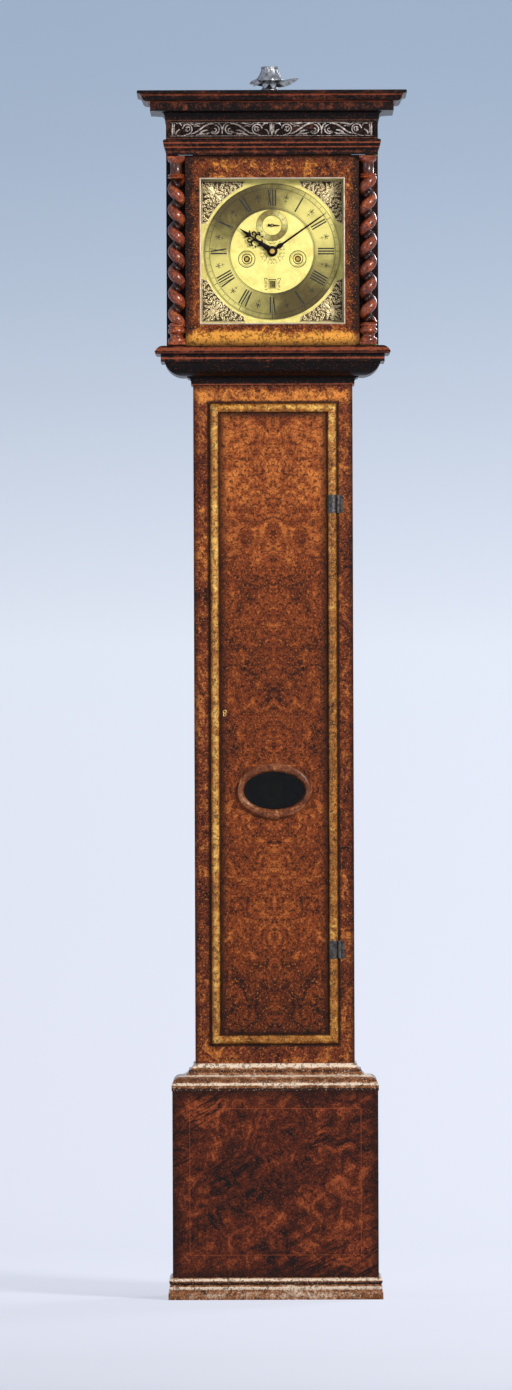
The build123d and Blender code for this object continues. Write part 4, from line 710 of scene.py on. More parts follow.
# %% [markdown]
# Engraving, casting and carving all come down to strokes: a line that swells and tapers, cut
# into brass and filled with black wax, or left standing as a leaf. A curve stores such a
# stroke well, because each of its points has a radius. One tree turns strokes into relief: it
# carries a small ring along them, flattens the result, and repeats it in a circle round the
# dial. Copies are real meshes at the end, so that they travel with the model.

# %% A node tree for strokes in relief
relief, relief_keys, given, result = new_tree(
    "strokes_in_relief", {"Sides": 6, "Depth": 1.0, "Copies": 1, "Turn": 0.0}
)
relief_add, relief_maths = partial(add, relief), partial(maths, relief)
size = {"Resolution": given["Sides"], "Radius": 1.0}
ring = relief_add("GeometryNodeCurvePrimitiveCircle", size).outputs[0]
swell = relief_add("GeometryNodeInputRadius").outputs[0]
carried = relief_add("GeometryNodeCurveToMesh", {
    "Curve": given["Geometry"], "Profile Curve": ring, "Scale": swell, "Fill Caps": True,
}).outputs[0]
flat = relief_add("CombineXYZ", {"X": 1.0, "Y": given["Depth"], "Z": 1.0}).outputs[0]
here = relief_add("GeometryNodeInputPosition").outputs[0]
pressed = relief_add("VectorMath", {0: here, 1: flat}, operation="MULTIPLY").outputs[0]
moved = {"Geometry": carried, "Position": pressed}
shallow = relief_add("GeometryNodeSetPosition", moved).outputs[0]
seats = relief_add("GeometryNodePoints", {"Count": given["Copies"]}).outputs[0]
number = relief_add("GeometryNodeInputIndex").outputs[0]
facing = relief_add("CombineXYZ", {"Y": relief_maths("MULTIPLY", number, given["Turn"])}).outputs[0]
seated = {"Points": seats, "Instance": shallow, "Rotation": facing}
copies = relief_add("GeometryNodeInstanceOnPoints", seated).outputs[0]
plug(relief, result, relief_add("GeometryNodeRealizeInstances", {0: copies}).outputs[0])
print("relief inputs:", ", ".join(relief_keys))

# %% [markdown]
# Strokes are written flat, as across and up in millimetres with a half width at each point.
# The tree works about the origin, and the baked mesh is then moved to the surface that
# carries it. The closed ends of a stroke are small flats, which its taper hides.


# %% Strokes and where they lie
def stroke_curve(strokes):
    """A curve of strokes; each is a list of (across, up, half width) in millimetres."""
    curve = bpy.data.curves.new("strokes", "CURVE")
    curve.dimensions = "3D"
    for stroke in strokes:
        spline = curve.splines.new("POLY")
        spline.points.add(len(stroke) - 1)
        for point, (across, up, half) in zip(spline.points, stroke):
            point.co = (across / 1000, 0.0, up / 1000, 1.0)
            point.radius = half / 1000
    return curve


def relief_mesh(strokes, place, proud, sides=6, copies=1):
    """Bakes strokes whose middle stands proud of the surface at y, in millimetres. Copies
    are spread evenly round the origin of the strokes."""
    widest = max(half for stroke in strokes for across, up, half in stroke)
    turn = math.radians(360 / copies) if copies > 1 else 0.0
    values = {"Sides": sides, "Depth": proud / widest, "Copies": copies, "Turn": turn}
    mesh = bake(relief, relief_keys, values, stroke_curve(strokes))
    mesh.transform(Matrix.Translation([p / 1000 for p in place]))
    return mesh


def spiral(centre, radii, turns, halves, points=18):
    """A stroke that winds from the first radius and angle to the last."""
    stroke = []
    for index in range(points + 1):
        share = index / points
        radius = radii[0] + (radii[1] - radii[0]) * share
        turn = math.radians(turns[0] + (turns[1] - turns[0]) * share)
        half = halves[0] + (halves[1] - halves[0]) * share
        if share < 0.12:
            half *= 0.35 + 0.65 * share / 0.12
        across, up = radius * math.cos(turn), radius * math.sin(turn)
        stroke.append((centre[0] + across, centre[1] + up, half))
    return stroke


def leaf(start, end, bow, half, points=8):
    """A bowed leaf, thin at both ends."""
    start, end = Vector(start), Vector(end)
    side = (end - start).orthogonal().normalized() * bow
    stroke = []
    for index in range(points + 1):
        share = index / points
        at = start.lerp(end, share) + side * math.sin(math.pi * share)
        swelling = 0.12 + 0.88 * math.sin(math.pi * min(1, 0.15 + 0.8 * share))
        stroke.append((at.x, at.y, half * swelling))
    return stroke


def circle(radius, half, points=120):
    """A circle of even width about the origin."""
    angles = [2 * math.pi * index / points for index in range(points + 1)]
    return [(radius * math.cos(a), radius * math.sin(a), half) for a in angles]


def redrawn(strokes, rule):
    """The strokes with a rule applied to each of their points."""
    return [[rule(*point) for point in stroke] for stroke in strokes]


def turned(strokes, degrees):
    """The strokes turned clockwise about the origin."""
    c, s = math.cos(math.radians(degrees)), math.sin(math.radians(degrees))
    return redrawn(strokes, lambda a, u, h: (a * c + u * s, u * c - a * s, h))


def both_sides(strokes):
    """The strokes and their mirror images."""
    return strokes + redrawn(strokes, lambda a, u, h: (-a, u, h))


print("strokes ready")

# %% [markdown]
# The chapter ring is engraved with the hours and a band of minutes, and the cuts are filled
# with black wax. The hours have their feet to the middle, with thick strokes, hairlines and
# small serifs. The marks that repeat, sixty minutes and twelve half-hour flowers, are one
# stroke each, turned round the dial by the tree.

# %% Hours
dial_z = 1762.5
ring_front = -43.0
foot, head = 77.0, 103.6
thick, thin, hair = 1.25, 0.48, 0.3
head_serifs = [(-2.1, 1.3, head), (2.3, 1.3, head)]
# Each sign: its width, its lines from (across at the head) to (across at the foot) with a half
# width, and its serifs as (across, half length, level).
signs = {
    "I": (4.4, [(0.0, 0.0, thick)], [(0.0, 1.7, foot), (0.0, 1.7, head)]),
    "V": (6.6, [(-2.1, 0.5, thick), (2.3, 0.7, thin)], head_serifs),
    "X": (6.8, [(-2.0, 2.0, thick), (2.4, -2.4, thin)], head_serifs),
}


def hour_strokes(letters):
    """The strokes of one hour, standing upright at the top of the ring."""
    left = -sum(signs[letter][0] for letter in letters) / 2
    strokes = []
    for letter in letters:
        wide, lines, serifs = signs[letter]
        middle = left + wide / 2
        for top, bottom, half in lines:
            strokes.append([(middle + top, head, half), (middle + bottom, foot, half)])
        for at, long, level in serifs:
            ends = (middle + at - long, middle + at + long)
            strokes.append([(end, level, hair) for end in ends])
        left += wide
    return strokes


def cut(strokes, copies=1, front=ring_front, centre_z=dial_z, deep=0.05):
    """Strokes engraved in a plate about a centre, with copies all round it."""
    return relief_mesh(strokes, (0, front, centre_z), deep, 4, copies)


engraved = []
for index, letters in enumerate("I II III IIII V VI VII VIII IX X XI XII".split()):
    engraved += turned(hour_strokes(letters), 30 * (index + 1))
cuts = [cut(engraved, deep=0.06)]
print("hours:", len(engraved), "strokes")

# %% Minutes, circles and half-hour flowers
flower = [
    [(0, 82.5, 0.28), (0, 99.0, 0.28)], [(-2.4, 86.6, 0.45), (2.4, 86.6, 0.45)],
    leaf((0, 92.0), (0, 99.5), 0, 0.9),
]
flower += both_sides([
    spiral((2.3, 91.2), (2.3, 0.9), (180, -60), (0.55, 0.3), 10),
    leaf((4.6, 95.6), (1.0, 93.4), -0.5, 0.5),
])
circles = [(71.6, 0.4), (73.6, 0.22), (105.4, 0.3), (106.6, 0.2), (113.4, 0.35)]
cuts += [
    cut([[(0, 106.6, 0.22), (0, 112.2, 0.22)]], 60),
    cut([[(0, 104.8, 0.5), (0, 113.0, 0.5)]], 12),
    cut(turned(flower, 15), 12),
    cut([circle(*size) for size in circles]),
]
place_piece("chapter_engraving", merge_meshes(cuts), black_wax_and_shade, "case", "brass", 20)

# %% [markdown]
# The seconds ring has its own small numbers, every five seconds, and a track of sixty marks.
# Plain numerals are text: the font's outlines are turned into a mesh, stood up and laid on
# the ring.


# %% Seconds ring
def number_mesh(text, size, radius, centre_z, degrees, front, spin):
    """A small number on a ring that faces the front, in millimetres: the angle tells where
    on the ring it stands, and the spin how far it is turned itself."""
    words = bpy.data.curves.new("number", "FONT")
    words.body = text
    words.size = size
    words.align_x = words.align_y = "CENTER"
    words.extrude = 0.05
    words.resolution_u = 3
    holder = bpy.data.objects.new("number", words)
    bpy.context.scene.collection.objects.link(holder)
    bpy.context.view_layer.update()
    seen = holder.evaluated_get(bpy.context.evaluated_depsgraph_get())
    mesh = bpy.data.meshes.new_from_object(seen)
    bpy.data.objects.remove(holder)
    at = math.radians(degrees)
    place = (radius * math.sin(at), front, centre_z + radius * math.cos(at))
    upright = Matrix.Rotation(math.radians(90), 4, "X")
    spun = Matrix.Rotation(math.radians(spin), 4, "Y")
    mesh.transform(Matrix.Scale(0.001, 4) @ Matrix.Translation(place) @ spun @ upright)
    return mesh


seconds_z = dial_z + 43.8
seconds_front = -42.5
seconds_cut = partial(cut, front=seconds_front, centre_z=seconds_z)
cuts = [
    seconds_cut([[(0, 23.6, 0.14), (0, 25.6, 0.14)]], 60),
    seconds_cut([[(0, 22.6, 0.3), (0, 25.8, 0.3)]], 12),
    seconds_cut([circle(23.4, 0.16), circle(26.0, 0.22), circle(16.9, 0.3)]),
]
for mark in range(1, 13):
    turn = 30 * mark
    cuts.append(number_mesh(str(5 * mark), 4.6, 20.1, seconds_z, turn, seconds_front, turn))
place_piece("seconds_engraving", merge_meshes(cuts), black_wax_and_shade, "case", "brass", 20)

# %% [markdown]
# The middle of the dial is matted, then turned rings are cut round each winding hole and a
# spray of scrolls is engraved round the hands and the date. The rings stand in low relief,
# bright on their crowns, and the scrolls are fine wax-filled cuts. Black rings at each hole's
# edge, in the rings' groove and round their rim are painted shade.

# %% Winding hole rings, centre spray and date surround
plate_front = -41.0
winding_x, winding_z = 43.0, dial_z - 13.0
date_z = dial_z - 55.5
ring_outline = [
    (5.3, 0.0), (5.4, 0.7), (6.4, 1.1), (7.4, 0.7), (7.8, 0.15), (8.8, 0.1), (9.3, 0.5),
    (10.6, 1.0), (11.9, 0.6), (12.4, 0.15), (12.9, 0.35), (13.3, 0.0),
]
turned_rings = bmesh.new()
dark_lines = []
for across in (-winding_x, winding_x):
    centre = (across / 1000, plate_front / 1000, winding_z / 1000)
    outline = [(r / 1000, -out / 1000) for r, out in ring_outline]
    lathe(turned_rings, outline, centre, "Y", 56)
    # Black rings at the hole's edge and in the groove, and the line round the rim below, are
    # painted shade.
    painted_shade_rings = [circle(8.3, 1.0), circle(5.9, 0.6)]
    dark_lines += [
        relief_mesh(painted_shade_rings, (across, plate_front - 0.15, winding_z), 0.12, 4),
        relief_mesh([circle(13.8, 0.7)], (across, plate_front, winding_z), 0.06, 4),
    ]
place_piece("winding_rings", as_mesh(turned_rings), matted_gilt, "case", "brass", 30)

spray = [spiral((0.0, 15.6), (3.0, 0.8), (-170, 190), (0.5, 0.25), 14)] + both_sides([
    leaf((2.4, 11.6), (7.0, 15.2), 0.8, 0.55), leaf((0.6, 18.4), (3.6, 21.4), 0.5, 0.45),
    spiral((6.4, 18.6), (1.9, 0.5), (90, -250), (0.35, 0.2), 10),
])
surround = [[(-6.4, 7.9, 0.75), (6.4, 7.9, 0.75)], [(-5.9, -7.0, 0.3), (5.9, -7.0, 0.3)]]
surround += both_sides([
    [(6.1, -7.0, 0.35), (6.1, 7.4, 0.35)],
    spiral((10.6, 4.0), (2.4, 0.7), (90, -290), (0.5, 0.25), 14),
    spiral((10.6, -3.4), (2.4, 0.7), (-90, 290), (0.5, 0.25), 14),
    leaf((7.4, 0.0), (13.2, 0.3), 0.8, 0.5), leaf((8.0, 8.0), (13.8, 10.2), 1.0, 0.7),
    leaf((13.4, 6.2), (14.2, 10.8), 0.6, 0.5), leaf((8.0, -7.4), (13.6, -8.2), -1.0, 0.6),
])
dark_lines += [
    cut(spray, 6, plate_front, deep=0.06), cut(surround, 1, plate_front, date_z, 0.07),
]
place_piece("plate_engraving_and_shade_rings", merge_meshes(dark_lines), black_wax_and_shade, "case", "brass", 20)

# %% [markdown]
# The date ring turns behind the plate and shows one number at a time through its opening, so
# its numbers ride on the ring and not on the plate. They are spaced evenly, 31 to the turn.

# %% Date numbers
dates = []
for day in range(31):
    turn = 180 - day * 360 / 31
    dates.append(number_mesh(str(day + 1), 6.4, 58.0, dial_z, turn, -37.5, turn + 180))
place_piece("date_numbers", merge_meshes(dates), black_wax_and_shade, "date", "brass", 20)

# %% [markdown]
# Hands of this kind are cut from a steel sheet, pierced with a drill and a fine saw, and then
# filed to a soft edge and blued. Each is a set of strokes laid on one plane, with a round boss
# at its middle, and it stands for the plain hand that it replaces.


# %% Hands
def hand_piece(name, strokes, boss, front, thick, turn, body, old):
    """A filed steel hand about the origin of its arbor, turned to the time that it shows."""
    bold = redrawn(strokes, lambda a, u, h: (a, u, 1.3 * h))
    half = thick / 2
    inner, outer = boss
    outline = [
        (inner, -half), (outer - 0.8, -half), (outer, -half * 0.3), (outer, half * 0.6),
        (outer - 0.4, half), (inner, half), (inner, -half),
    ]
    shape = bmesh.new()
    shape.from_mesh(relief_mesh(bold, (0, 0, 0), half, 8))
    lathe(shape, [(r / 1000, reach / 1000) for r, reach in outline], along="Y")
    centre_z = seconds_z if body == "escape_wheel" else dial_z
    place = Matrix.Translation((0, (front + half) / 1000, centre_z / 1000))
    shape.transform(place @ Matrix.Rotation(math.radians(turn), 4, "Y"))
    place_piece(name, as_mesh(shape), blued_steel, body, "iron", 45, old)


half_hour_hand = [
    spiral((6.0, 33.0), (5.4, 4.6), (230, -20), (1.3, 1.0), 16),
    spiral((6.2, 42.4), (4.4, 1.6), (-110, 200), (1.3, 0.8), 18),
    leaf((2.0, 46.0), (7.6, 51.4), 1.2, 1.2),
    leaf((9.0, 30.0), (12.8, 26.4), -0.8, 1.0),
    spiral((11.4, 36.6), (2.6, 1.0), (-150, 130), (1.0, 0.6), 12),
    leaf((2.0, 22.0), (6.4, 26.4), -0.6, 1.1),
]
hour_shape = both_sides(half_hour_hand) + [
    [(0, 6, 4.4), (0, 12, 3.4), (0, 18, 2.8), (0, 24, 3.0), (0, 27, 2.0)],
    [(0, 25, 1.5), (0, 34, 1.0), (0, 44, 1.3), (0, 48, 2.6), (0, 52, 2.2), (0, 58, 1.3),
     (0, 67.4, 0.25)],
    [(-3.2, 27, 0.8), (0, 25.8, 1.2), (3.2, 27, 0.8)],
    [(-4.4, 47.6, 0.7), (0, 46.6, 1.2), (4.4, 47.6, 0.7)],
]
minute_shape = [
    [(0, 5, 2.4), (0, 9, 1.7), (0, 11, 2.2), (0, 13, 3.0), (0, 16, 3.2), (0, 19, 2.4), (0, 22, 1.5),
     (0, 25, 1.3), (0, 60, 1.1), (0, 96, 0.9), (0, 110.4, 0.3)],
]
seconds_shape = [
    [(0, 1.5, 1.3), (0, 4, 0.9), (0, 10, 0.6), (0, 13.4, 0.25)],
    [(0, -1.5, 1.2), (0, -3.6, 1.0), (0, -5.6, 1.9), (0, -7.2, 1.2)],
]
hand_piece(
    "pierced_hour_hand", hour_shape, (6.05, 9.0), -47.6, 1.2, 305.0, "hour_wheel_and_hand",
    "hour_hand",
)
hand_piece(
    "filed_minute_hand", minute_shape, (4.05, 6.4), -50.8, 1.0, 54.8, "minute_arbor",
    "minute_hand",
)
hand_piece(
    "small_seconds_hand", seconds_shape, (1.25, 2.8), -44.8, 0.8, 92.0, "escape_wheel",
    "seconds_hand",
)

# %% [markdown]
# The corners carry cast and gilded spandrels: leafy scrolls mirrored about the diagonal, over a
# dark plate of painted shade. Hand-placing every curl would take days, so the scrolls grow from
# points scattered with a fixed seed, never closer than a set distance, each with a curl and a
# leaf. One corner is made and the tree turns it four times round the dial.

# %% Spandrel scrolls
scatter = random.Random(17)
corner_low, corner_high, corner_round = 45.2, 119.0, 118.9


def inside_corner(across, up, margin):
    """Whether a place is within the corner, clear of the ring and the edges."""
    return (
        max(across, up) < corner_high - margin and min(across, up) > corner_low + margin
        and math.hypot(across, up) > corner_round + margin
    )


def corner_scrolls(seeds):
    """Curls and leaves for the half of a corner below its diagonal."""
    strokes = []
    for across, up, room in seeds:
        flow = math.degrees(math.atan2(up, across))
        flow = flow + scatter.choice((-90, 90)) + scatter.uniform(-35, 35)
        way = scatter.choice((-1, 1))
        radii, halves = (room, room * 0.3), (room * 0.30, room * 0.2)
        strokes.append(spiral((across, up), radii, (flow, flow + way * 400), halves, 12))
        for lean in (0, 140):
            tip = math.radians(flow + lean + way * 60)
            start, end = (
                (across + far * math.cos(bearing), up + far * math.sin(bearing))
                for far, bearing in ((room, tip), (2.0 * room, tip + 0.4))
            )
            if inside_corner(*end, 0.8) and inside_corner(*start, 0.6):
                strokes.append(leaf(start, end, way * room * 0.25, room * 0.42, 6))
    return strokes


seeds = []
for attempt in range(5000):
    across, up = scatter.uniform(48, 119), scatter.uniform(48, 119)
    room = scatter.uniform(2.2, 3.6)
    if up > across - 1.5 or not inside_corner(across, up, room + 0.4):
        continue
    if all(math.hypot(across - a, up - u) > room + r + 0.4 for a, u, r in seeds):
        seeds.append((across, up, room))
half_corner = corner_scrolls(seeds) + [leaf((98.0, 96.4), (112.5, 102.0), 1.0, 1.6)]
corner = half_corner + redrawn(half_corner, lambda a, u, h: (u, a, h)) + [
    leaf((86.6, 86.6), (97.0, 97.0), 0, 2.0), leaf((98.0, 98.0), (112.0, 112.0), 0, 2.6),
    [(117.9, 46.0, 0.7), (117.9, 117.9, 0.9), (46.0, 117.9, 0.7)],
]
arc = [math.radians(90 * share / 40) for share in range(41)]
arc = [a for a in arc if min(119.5 * math.cos(a), 119.5 * math.sin(a)) > 46]
corner.append([(119.6 * math.cos(a), 119.6 * math.sin(a), 0.6) for a in arc])
scrolls = relief_mesh(corner, (0, plate_front - 0.9, dial_z), 1.45, 6, 4)
print("spandrel strokes in a corner:", len(corner))
place_piece("spandrel_scrolls", scrolls, cast_gilt, "case", "brass", 45, "spandrels")

# The dark plate in each corner behind the scrolls is painted shade.
ground = bmesh.new()
rim = [(119.0, 46.0), (119.0, 119.0), (46.0, 119.0)]
rim += [(corner_round * math.cos(a), corner_round * math.sin(a)) for a in reversed(arc)]
middle = Matrix.Translation((0, 0, dial_z / 1000))
for quarter in range(4):
    spin = middle @ Matrix.Rotation(math.radians(90 * quarter), 4, "Y")
    front, back = (
        [ground.verts.new(spin @ Vector((x / 1000, level, z / 1000))) for x, z in rim]
        for level in (-0.0413, -0.0411)
    )
    ground.faces.new(front)
    ground.faces.new(list(reversed(back)))
    for here in range(len(rim)):
        there = (here + 1) % len(rim)
        ground.faces.new((front[here], back[here], back[there], front[there]))
place_piece("spandrel_ground", as_mesh(ground), shadow_brass, "case", "brass", 20)

# %% [markdown]
# The frieze is carved in the solid: one run of foliage between the moulding and the cornice.
# The carver draws a quarter of it, a roundel, a diagonal stem and a smaller volute, and turns
# the pattern over three times to fill the board. The strokes here are that drawing, and their
# relief is as high as the ground was sunk.

# %% Frieze carving
frieze_z, frieze_front = 1966.5, -86.9
quarter_long, half_frieze = 83.8, 171.0
quarter_run = [
    spiral((24.4, 0.4), (9.0, 7.6), (-100, 175), (1.1, 1.5), 22),
    spiral((24.4, 0.4), (5.4, 2.6), (60, -170), (1.2, 0.9), 14),
    leaf((22.2, 2.6), (27.4, 3.4), 0.8, 1.2), leaf((24.4, -2.8), (24.8, 2.4), 0.6, 1.2),
    leaf((8.2, -10.2), (23.6, -8.4), -2.4, 1.5), leaf((6.6, 9.6), (15.6, 5.6), 2.4, 1.6),
    leaf((5.6, -8.8), (12.6, 0.0), 2.0, 1.5), leaf((0.0, -10.0), (0.0, 10.0), 0, 2.2),
    leaf((3.4, 9.0), (3.6, -7.0), -0.8, 1.2),
    [(31.0, -8.0, 0.8), (38.0, -5.4, 1.5), (46.0, -0.4, 1.7), (54.0, 5.6, 1.7),
     (62.0, 9.2, 1.5), (70.0, 9.8, 1.2)],
    spiral((71.0, -0.6), (8.2, 6.6), (88, -150), (1.2, 1.5), 18),
    spiral((71.0, -0.6), (4.4, 1.6), (-150, 120), (1.2, 0.9), 12),
    leaf((34.6, 6.6), (52.4, 9.8), 1.6, 1.7), leaf((36.6, 4.4), (47.0, 4.6), 1.4, 1.1),
    leaf((40.0, -9.8), (59.8, -8.6), 1.8, 1.5), leaf((46.0, -6.4), (60.2, -1.6), 1.6, 1.8),
    leaf((52.6, -9.8), (63.0, -6.0), 1.0, 1.1), leaf((30.6, 9.8), (40.0, 7.6), -0.8, 1.1),
    leaf((80.4, 8.4), (83.8, -9.0), 1.4, 1.5), leaf((76.8, 9.6), (82.4, 5.4), 0.6, 1.0),
]
half_run = quarter_run + redrawn(quarter_run, lambda a, u, h: (2 * quarter_long - a, u, h))
whole_run = both_sides(half_run)
whole_run += [[(-half_frieze, z, 0.5), (half_frieze, z, 0.5)] for z in (-11.2, 11.2)]
whole_run = redrawn(whole_run, lambda a, u, h: (a * 170.4 / half_frieze, u, 0.85 * h))
carving = relief_mesh(whole_run, (0, frieze_front, frieze_z), 1.35, 8)
place_piece("frieze_carving", carving, carving_with_painted_highlight, "hood", "walnut", 50)

# %% [markdown]
# On the cornice sits what is left of a cast finial: a fluted bell with curled leaves below it,
# one of them longer than the rest. It was cast in pieces and riveted, so bell and leaves are
# separate solids here that sink into one another, and together they stand for the plain base.


# %% Crest
def curled_leaf(shape, start, heading, long, wide, rise, curl, roll, rows=14):
    """A pointed leaf with a raised rib that leaves a point and curls as it goes."""
    previous = None
    upward = Vector((0, 0, 1))
    ahead = Vector((math.cos(heading), math.sin(heading), 0))
    beside = Vector((-math.sin(heading), math.cos(heading), 0)) * math.cos(roll)
    beside += upward * math.sin(roll)
    for row in range(rows + 1):
        share = row / rows
        lift = rise * share ** 1.5 + curl * math.sin(math.pi * share)
        middle = Vector(start) + ahead * long * share + upward * lift
        half = wide * math.sin(math.pi * min(1.0, 0.12 + 0.88 * share)) ** 0.7 * 0.5 + 0.0002
        rib = upward * 0.0011 * (1 - 0.6 * share)
        sag = upward * -0.25 * half
        places = [
            middle - beside * half + sag, middle - beside * half * 0.4 + sag * 0.2, middle + rib,
            middle + beside * half * 0.4 + sag * 0.2, middle + beside * half + sag, middle - rib,
        ]
        ring = [shape.verts.new(place) for place in places]
        if previous:
            for here in range(6):
                there = (here + 1) % 6
                shape.faces.new((previous[here], previous[there], ring[there], ring[here]))
        else:
            shape.faces.new(list(reversed(ring)))
        previous = ring
    shape.faces.new(previous)


crest_x, crest_y, leaf_root = -0.0034, -0.10375, 2.0405
crest_sides, flutes = 64, 16
bell_outline = [
    (0.4, 2062.5), (10.8, 2062.5), (12.2, 2067.2), (13.4, 2070.6), (14.6, 2070.0), (14.6, 2068.0),
    (14.3, 2066.4), (14.8, 2064.0), (15.8, 2061.0), (17.0, 2057.8), (19.0, 2054.5), (21.4, 2051.6),
    (23.4, 2049.4), (23.2, 2047.8), (20.5, 2046.5), (13.0, 2044.0), (11.0, 2040.0), (12.5, 2035.0),
    (15.0, 2032.0), (15.0, 2030.8), (0.4, 2030.8),
]
crest = bmesh.new()
outline = [(r / 1000, z / 1000) for r, z in bell_outline]
rings = lathe(crest, outline, (crest_x, crest_y, 0), "Z", crest_sides)
for ring in rings[6:13]:
    for here, point in enumerate(ring):
        wave = math.cos(2 * math.pi * here / crest_sides * flutes)
        swell = 1 - 0.055 * (0.5 + 0.5 * wave)
        point.co.x = crest_x + (point.co.x - crest_x) * swell
        point.co.y = crest_y + (point.co.y - crest_y) * swell
crest.faces.new(list(reversed(rings[0])))
crest.faces.new(rings[-1])
# Each leaf: its bearing, length, width, rise, curl and roll.
leaves = [
    (0.0, 0.0405, 0.0125, 0.0100, 0.0010, 62), (180.0, 0.0265, 0.0125, 0.0020, 0.0050, 118),
    (-32.0, 0.0240, 0.014, -0.0030, 0.0080, 35), (-150.0, 0.0240, 0.014, -0.0040, 0.0090, 145),
    (-75.0, 0.0170, 0.014, -0.0070, 0.0070, 0), (-110.0, 0.0170, 0.014, -0.0070, 0.0070, 0),
    (55.0, 0.024, 0.012, 0.001, 0.004, 20), (125.0, 0.024, 0.012, 0.0, 0.005, 160),
]
for bearing, *sizes, roll in leaves:
    direction = math.radians(bearing)
    root_x = crest_x + 0.008 * math.cos(direction)
    root_y = crest_y + 0.008 * math.sin(direction)
    curled_leaf(crest, (root_x, root_y, leaf_root), direction, *sizes, math.radians(roll))
place_piece("crest_casting", as_mesh(crest), silvered, "hood", "silvered_metal", 35, "crest_base")

# %% [markdown]
# Small metalwork comes last: the brass lining round the keyhole, and the cut nails of the
# backboard, whose heads were hammered flush.

# %% Nails and keyhole
keyhole = [
    circle(2.6, 0.8), [(-1.5, -2.2, 0.7), (-2.0, -7.0, 0.7), (2.0, -7.0, 0.7), (1.5, -2.2, 0.7)],
]
lining = relief_mesh(keyhole, (-82.8, -45.1, 988.0), 0.5, 6)
place_piece("keyhole_lining", lining, plate_brass, "trunk_door", "brass", 40)
nail_x, nail_y = 0.112, 0.1366
nails = bmesh.new()
for level in (60, 200, 330, 520, 760, 1000, 1240, 1460, 1560):
    for across in (-nail_x, nail_x):
        head_rings = [(share * 0.0032, 0.0) for share in (1.0, 0.82, 0.45, 0.06)]
        rings = lathe(nails, head_rings, (across, nail_y, level / 1000), "Y", 10)
        nails.faces.new(rings[0])
        nails.faces.new(list(reversed(rings[-1])))
place_piece("backboard_nails", as_mesh(nails), forged_iron, "case", "iron", 30)

# %% [markdown]
# The studio is a pale sweep: a floor that curves up into a wall. The camera sees a soft
# gradient on it, from blue-grey at the top to nearly white at the foot, and the sweep still
# takes the clock's shadow, which falls to the left. From behind, its wall can be seen through.


# %% Sweep behind the clock
def sweep_mesh(near_end=-40.0, bend_start=2.4, bend=1.6, top=9.0, half_width=40.0):
    """Floor, quarter curve and wall as one strip."""
    profile = [(near_end, 0.0), (-3.0, 0.0), (bend_start, 0.0)]
    for part in range(1, 13):
        angle = part / 12 * math.pi / 2
        profile.append((bend_start + bend * math.sin(angle), bend - bend * math.cos(angle)))
    profile.append((bend_start + bend, top))
    mesh = bpy.data.meshes.new("studio_sweep")
    points = [(x, y, z) for y, z in profile for x in (-half_width, half_width)]
    faces = [(2 * i, 2 * i + 1, 2 * i + 3, 2 * i + 2) for i in range(len(profile) - 1)]
    mesh.from_pydata(points, [], faces)
    for face in mesh.polygons:
        face.use_smooth = True
    return mesh


def seen_straight(tree):
    """1 for rays from the camera, and those that it sends through glass or off a shine."""
    rays = add(tree, "LightPath").outputs
    side = maths(tree, "MAXIMUM", rays["Is Glossy Ray"], rays["Is Transmission Ray"])
    return maths(tree, "MAXIMUM", rays["Is Camera Ray"], side)


def into_output(tree, shader):
    """Plugs a shader into the tree's output."""
    out = next(node for node in tree.nodes if node.type.startswith("OUTPUT"))
    plug(tree, out.inputs["Surface"], shader)


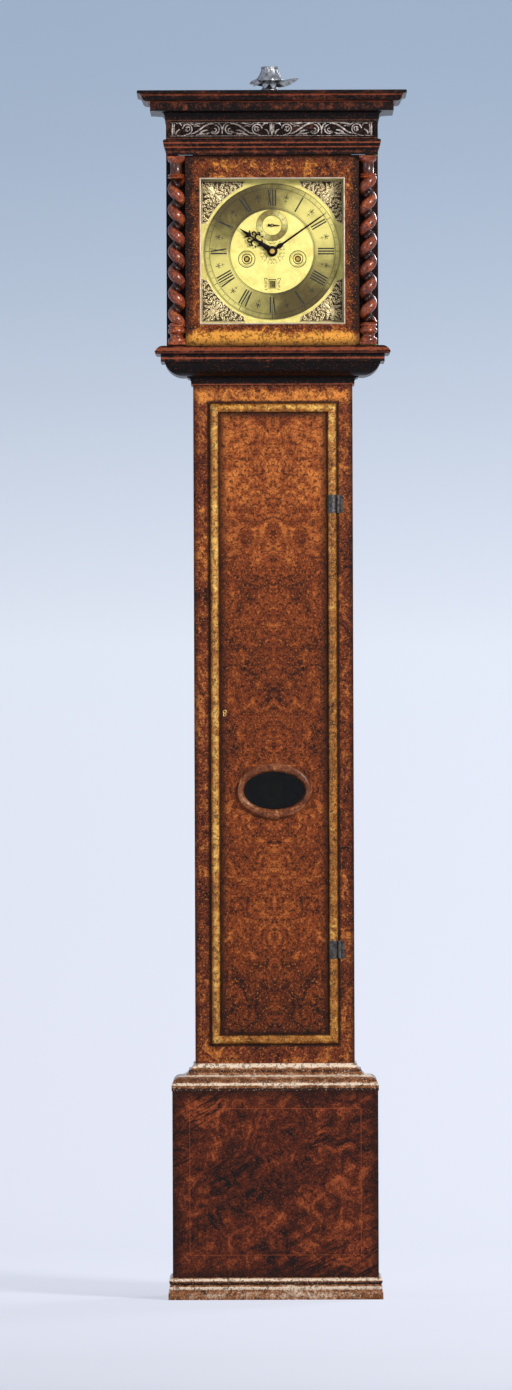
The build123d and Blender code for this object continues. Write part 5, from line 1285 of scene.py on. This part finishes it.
sweep = bpy.data.objects.new("studio_sweep", sweep_mesh())
bpy.context.scene.collection.objects.link(sweep)
backing, tree, place = new_material("studio_backing")
height = add(tree, "SeparateXYZ", {"Vector": place}).outputs
pale_to_blue = [
    (0.0, linear(222, 226, 240)), (0.37, linear(221, 228, 241)), (1.0, linear(158, 176, 199)),
]
tone = ramp(tree, step(tree, height["Z"], 0.2, 2.4), pale_to_blue)
painted = tree.nodes["Principled BSDF"]
for socket, feed in {
    "Base Color": blend_colours(tree, 1.0, tone, (0.45, 0.45, 0.45, 1), "MULTIPLY"),
    "Roughness": 1.0, "Specular IOR Level": 0.0,
}.items():
    plug(tree, painted.inputs[socket], feed)
limits = {"From Min": -2.4, "From Max": 0.4, "To Min": 0.50, "To Max": 0.76}
glow = add(tree, "MapRange", {"Value": height["Y"], **limits}).outputs["Result"]
lit = add(tree, "Emission", {"Color": tone, "Strength": glow}).outputs[0]
unlit = add(tree, "Emission", {"Color": (0, 0, 0, 1), "Strength": 0.0}).outputs[0]
glow = add(tree, "MixShader", {0: seen_straight(tree), 1: unlit, 2: lit}).outputs[0]
both = add(tree, "AddShader", {0: glow, 1: painted.outputs["BSDF"]}).outputs[0]
behind = add(tree, "NewGeometry").outputs["Backfacing"]
clear = add(tree, "BsdfTransparent").outputs[0]
into_output(tree, add(tree, "MixShader", {0: behind, 1: both, 2: clear}).outputs[0])
sweep.data.materials.append(backing)

# %% [markdown]
# One large soft lamp high on the right models the mouldings and throws the shadow to the
# left. A weaker lamp on the left keeps the dark side readable, one at the back shows the
# backboard from behind, and a pale world fills the rest.


# %% Lamps
def lamp(name, place, aim_height, size, power, colour):
    """A square soft lamp that points at the clock."""
    data = bpy.data.lights.new(name, "AREA")
    data.shape = "SQUARE"
    data.size = size
    data.energy = power
    data.color = colour
    holder = bpy.data.objects.new(name, data)
    holder.location = place
    aim = Vector((0, 0, aim_height)) - Vector(place)
    holder.rotation_euler = aim.to_track_quat("-Z", "Y").to_euler()
    bpy.context.scene.collection.objects.link(holder)


lamp("key_lamp", (2.3, -3.6, 2.9), 1.1, 0.9, 190, (1.0, 0.975, 0.94))
lamp("back_lamp", (1.9, 3.1, 2.7), 1.1, 1.2, 55, (0.98, 0.98, 1.0))
lamp("fill_lamp", (-2.6, -3.0, 1.2), 0.9, 1.6, 26, (0.97, 0.98, 1.0))
world = bpy.data.worlds.new("room")
bpy.context.scene.world = world
world.use_nodes = True
tree = world.node_tree
lighting = tree.nodes["Background"]
lighting.inputs["Color"].default_value = (0.93, 0.95, 1.0, 1)
lighting.inputs["Strength"].default_value = 0.24
seen_room = add(tree, "Background", {"Color": (*linear(214, 221, 236), 1), "Strength": 1.0})
rooms = {0: seen_straight(tree), 1: lighting.outputs[0], 2: seen_room.outputs[0]}
into_output(tree, add(tree, "MixShader", rooms).outputs[0])
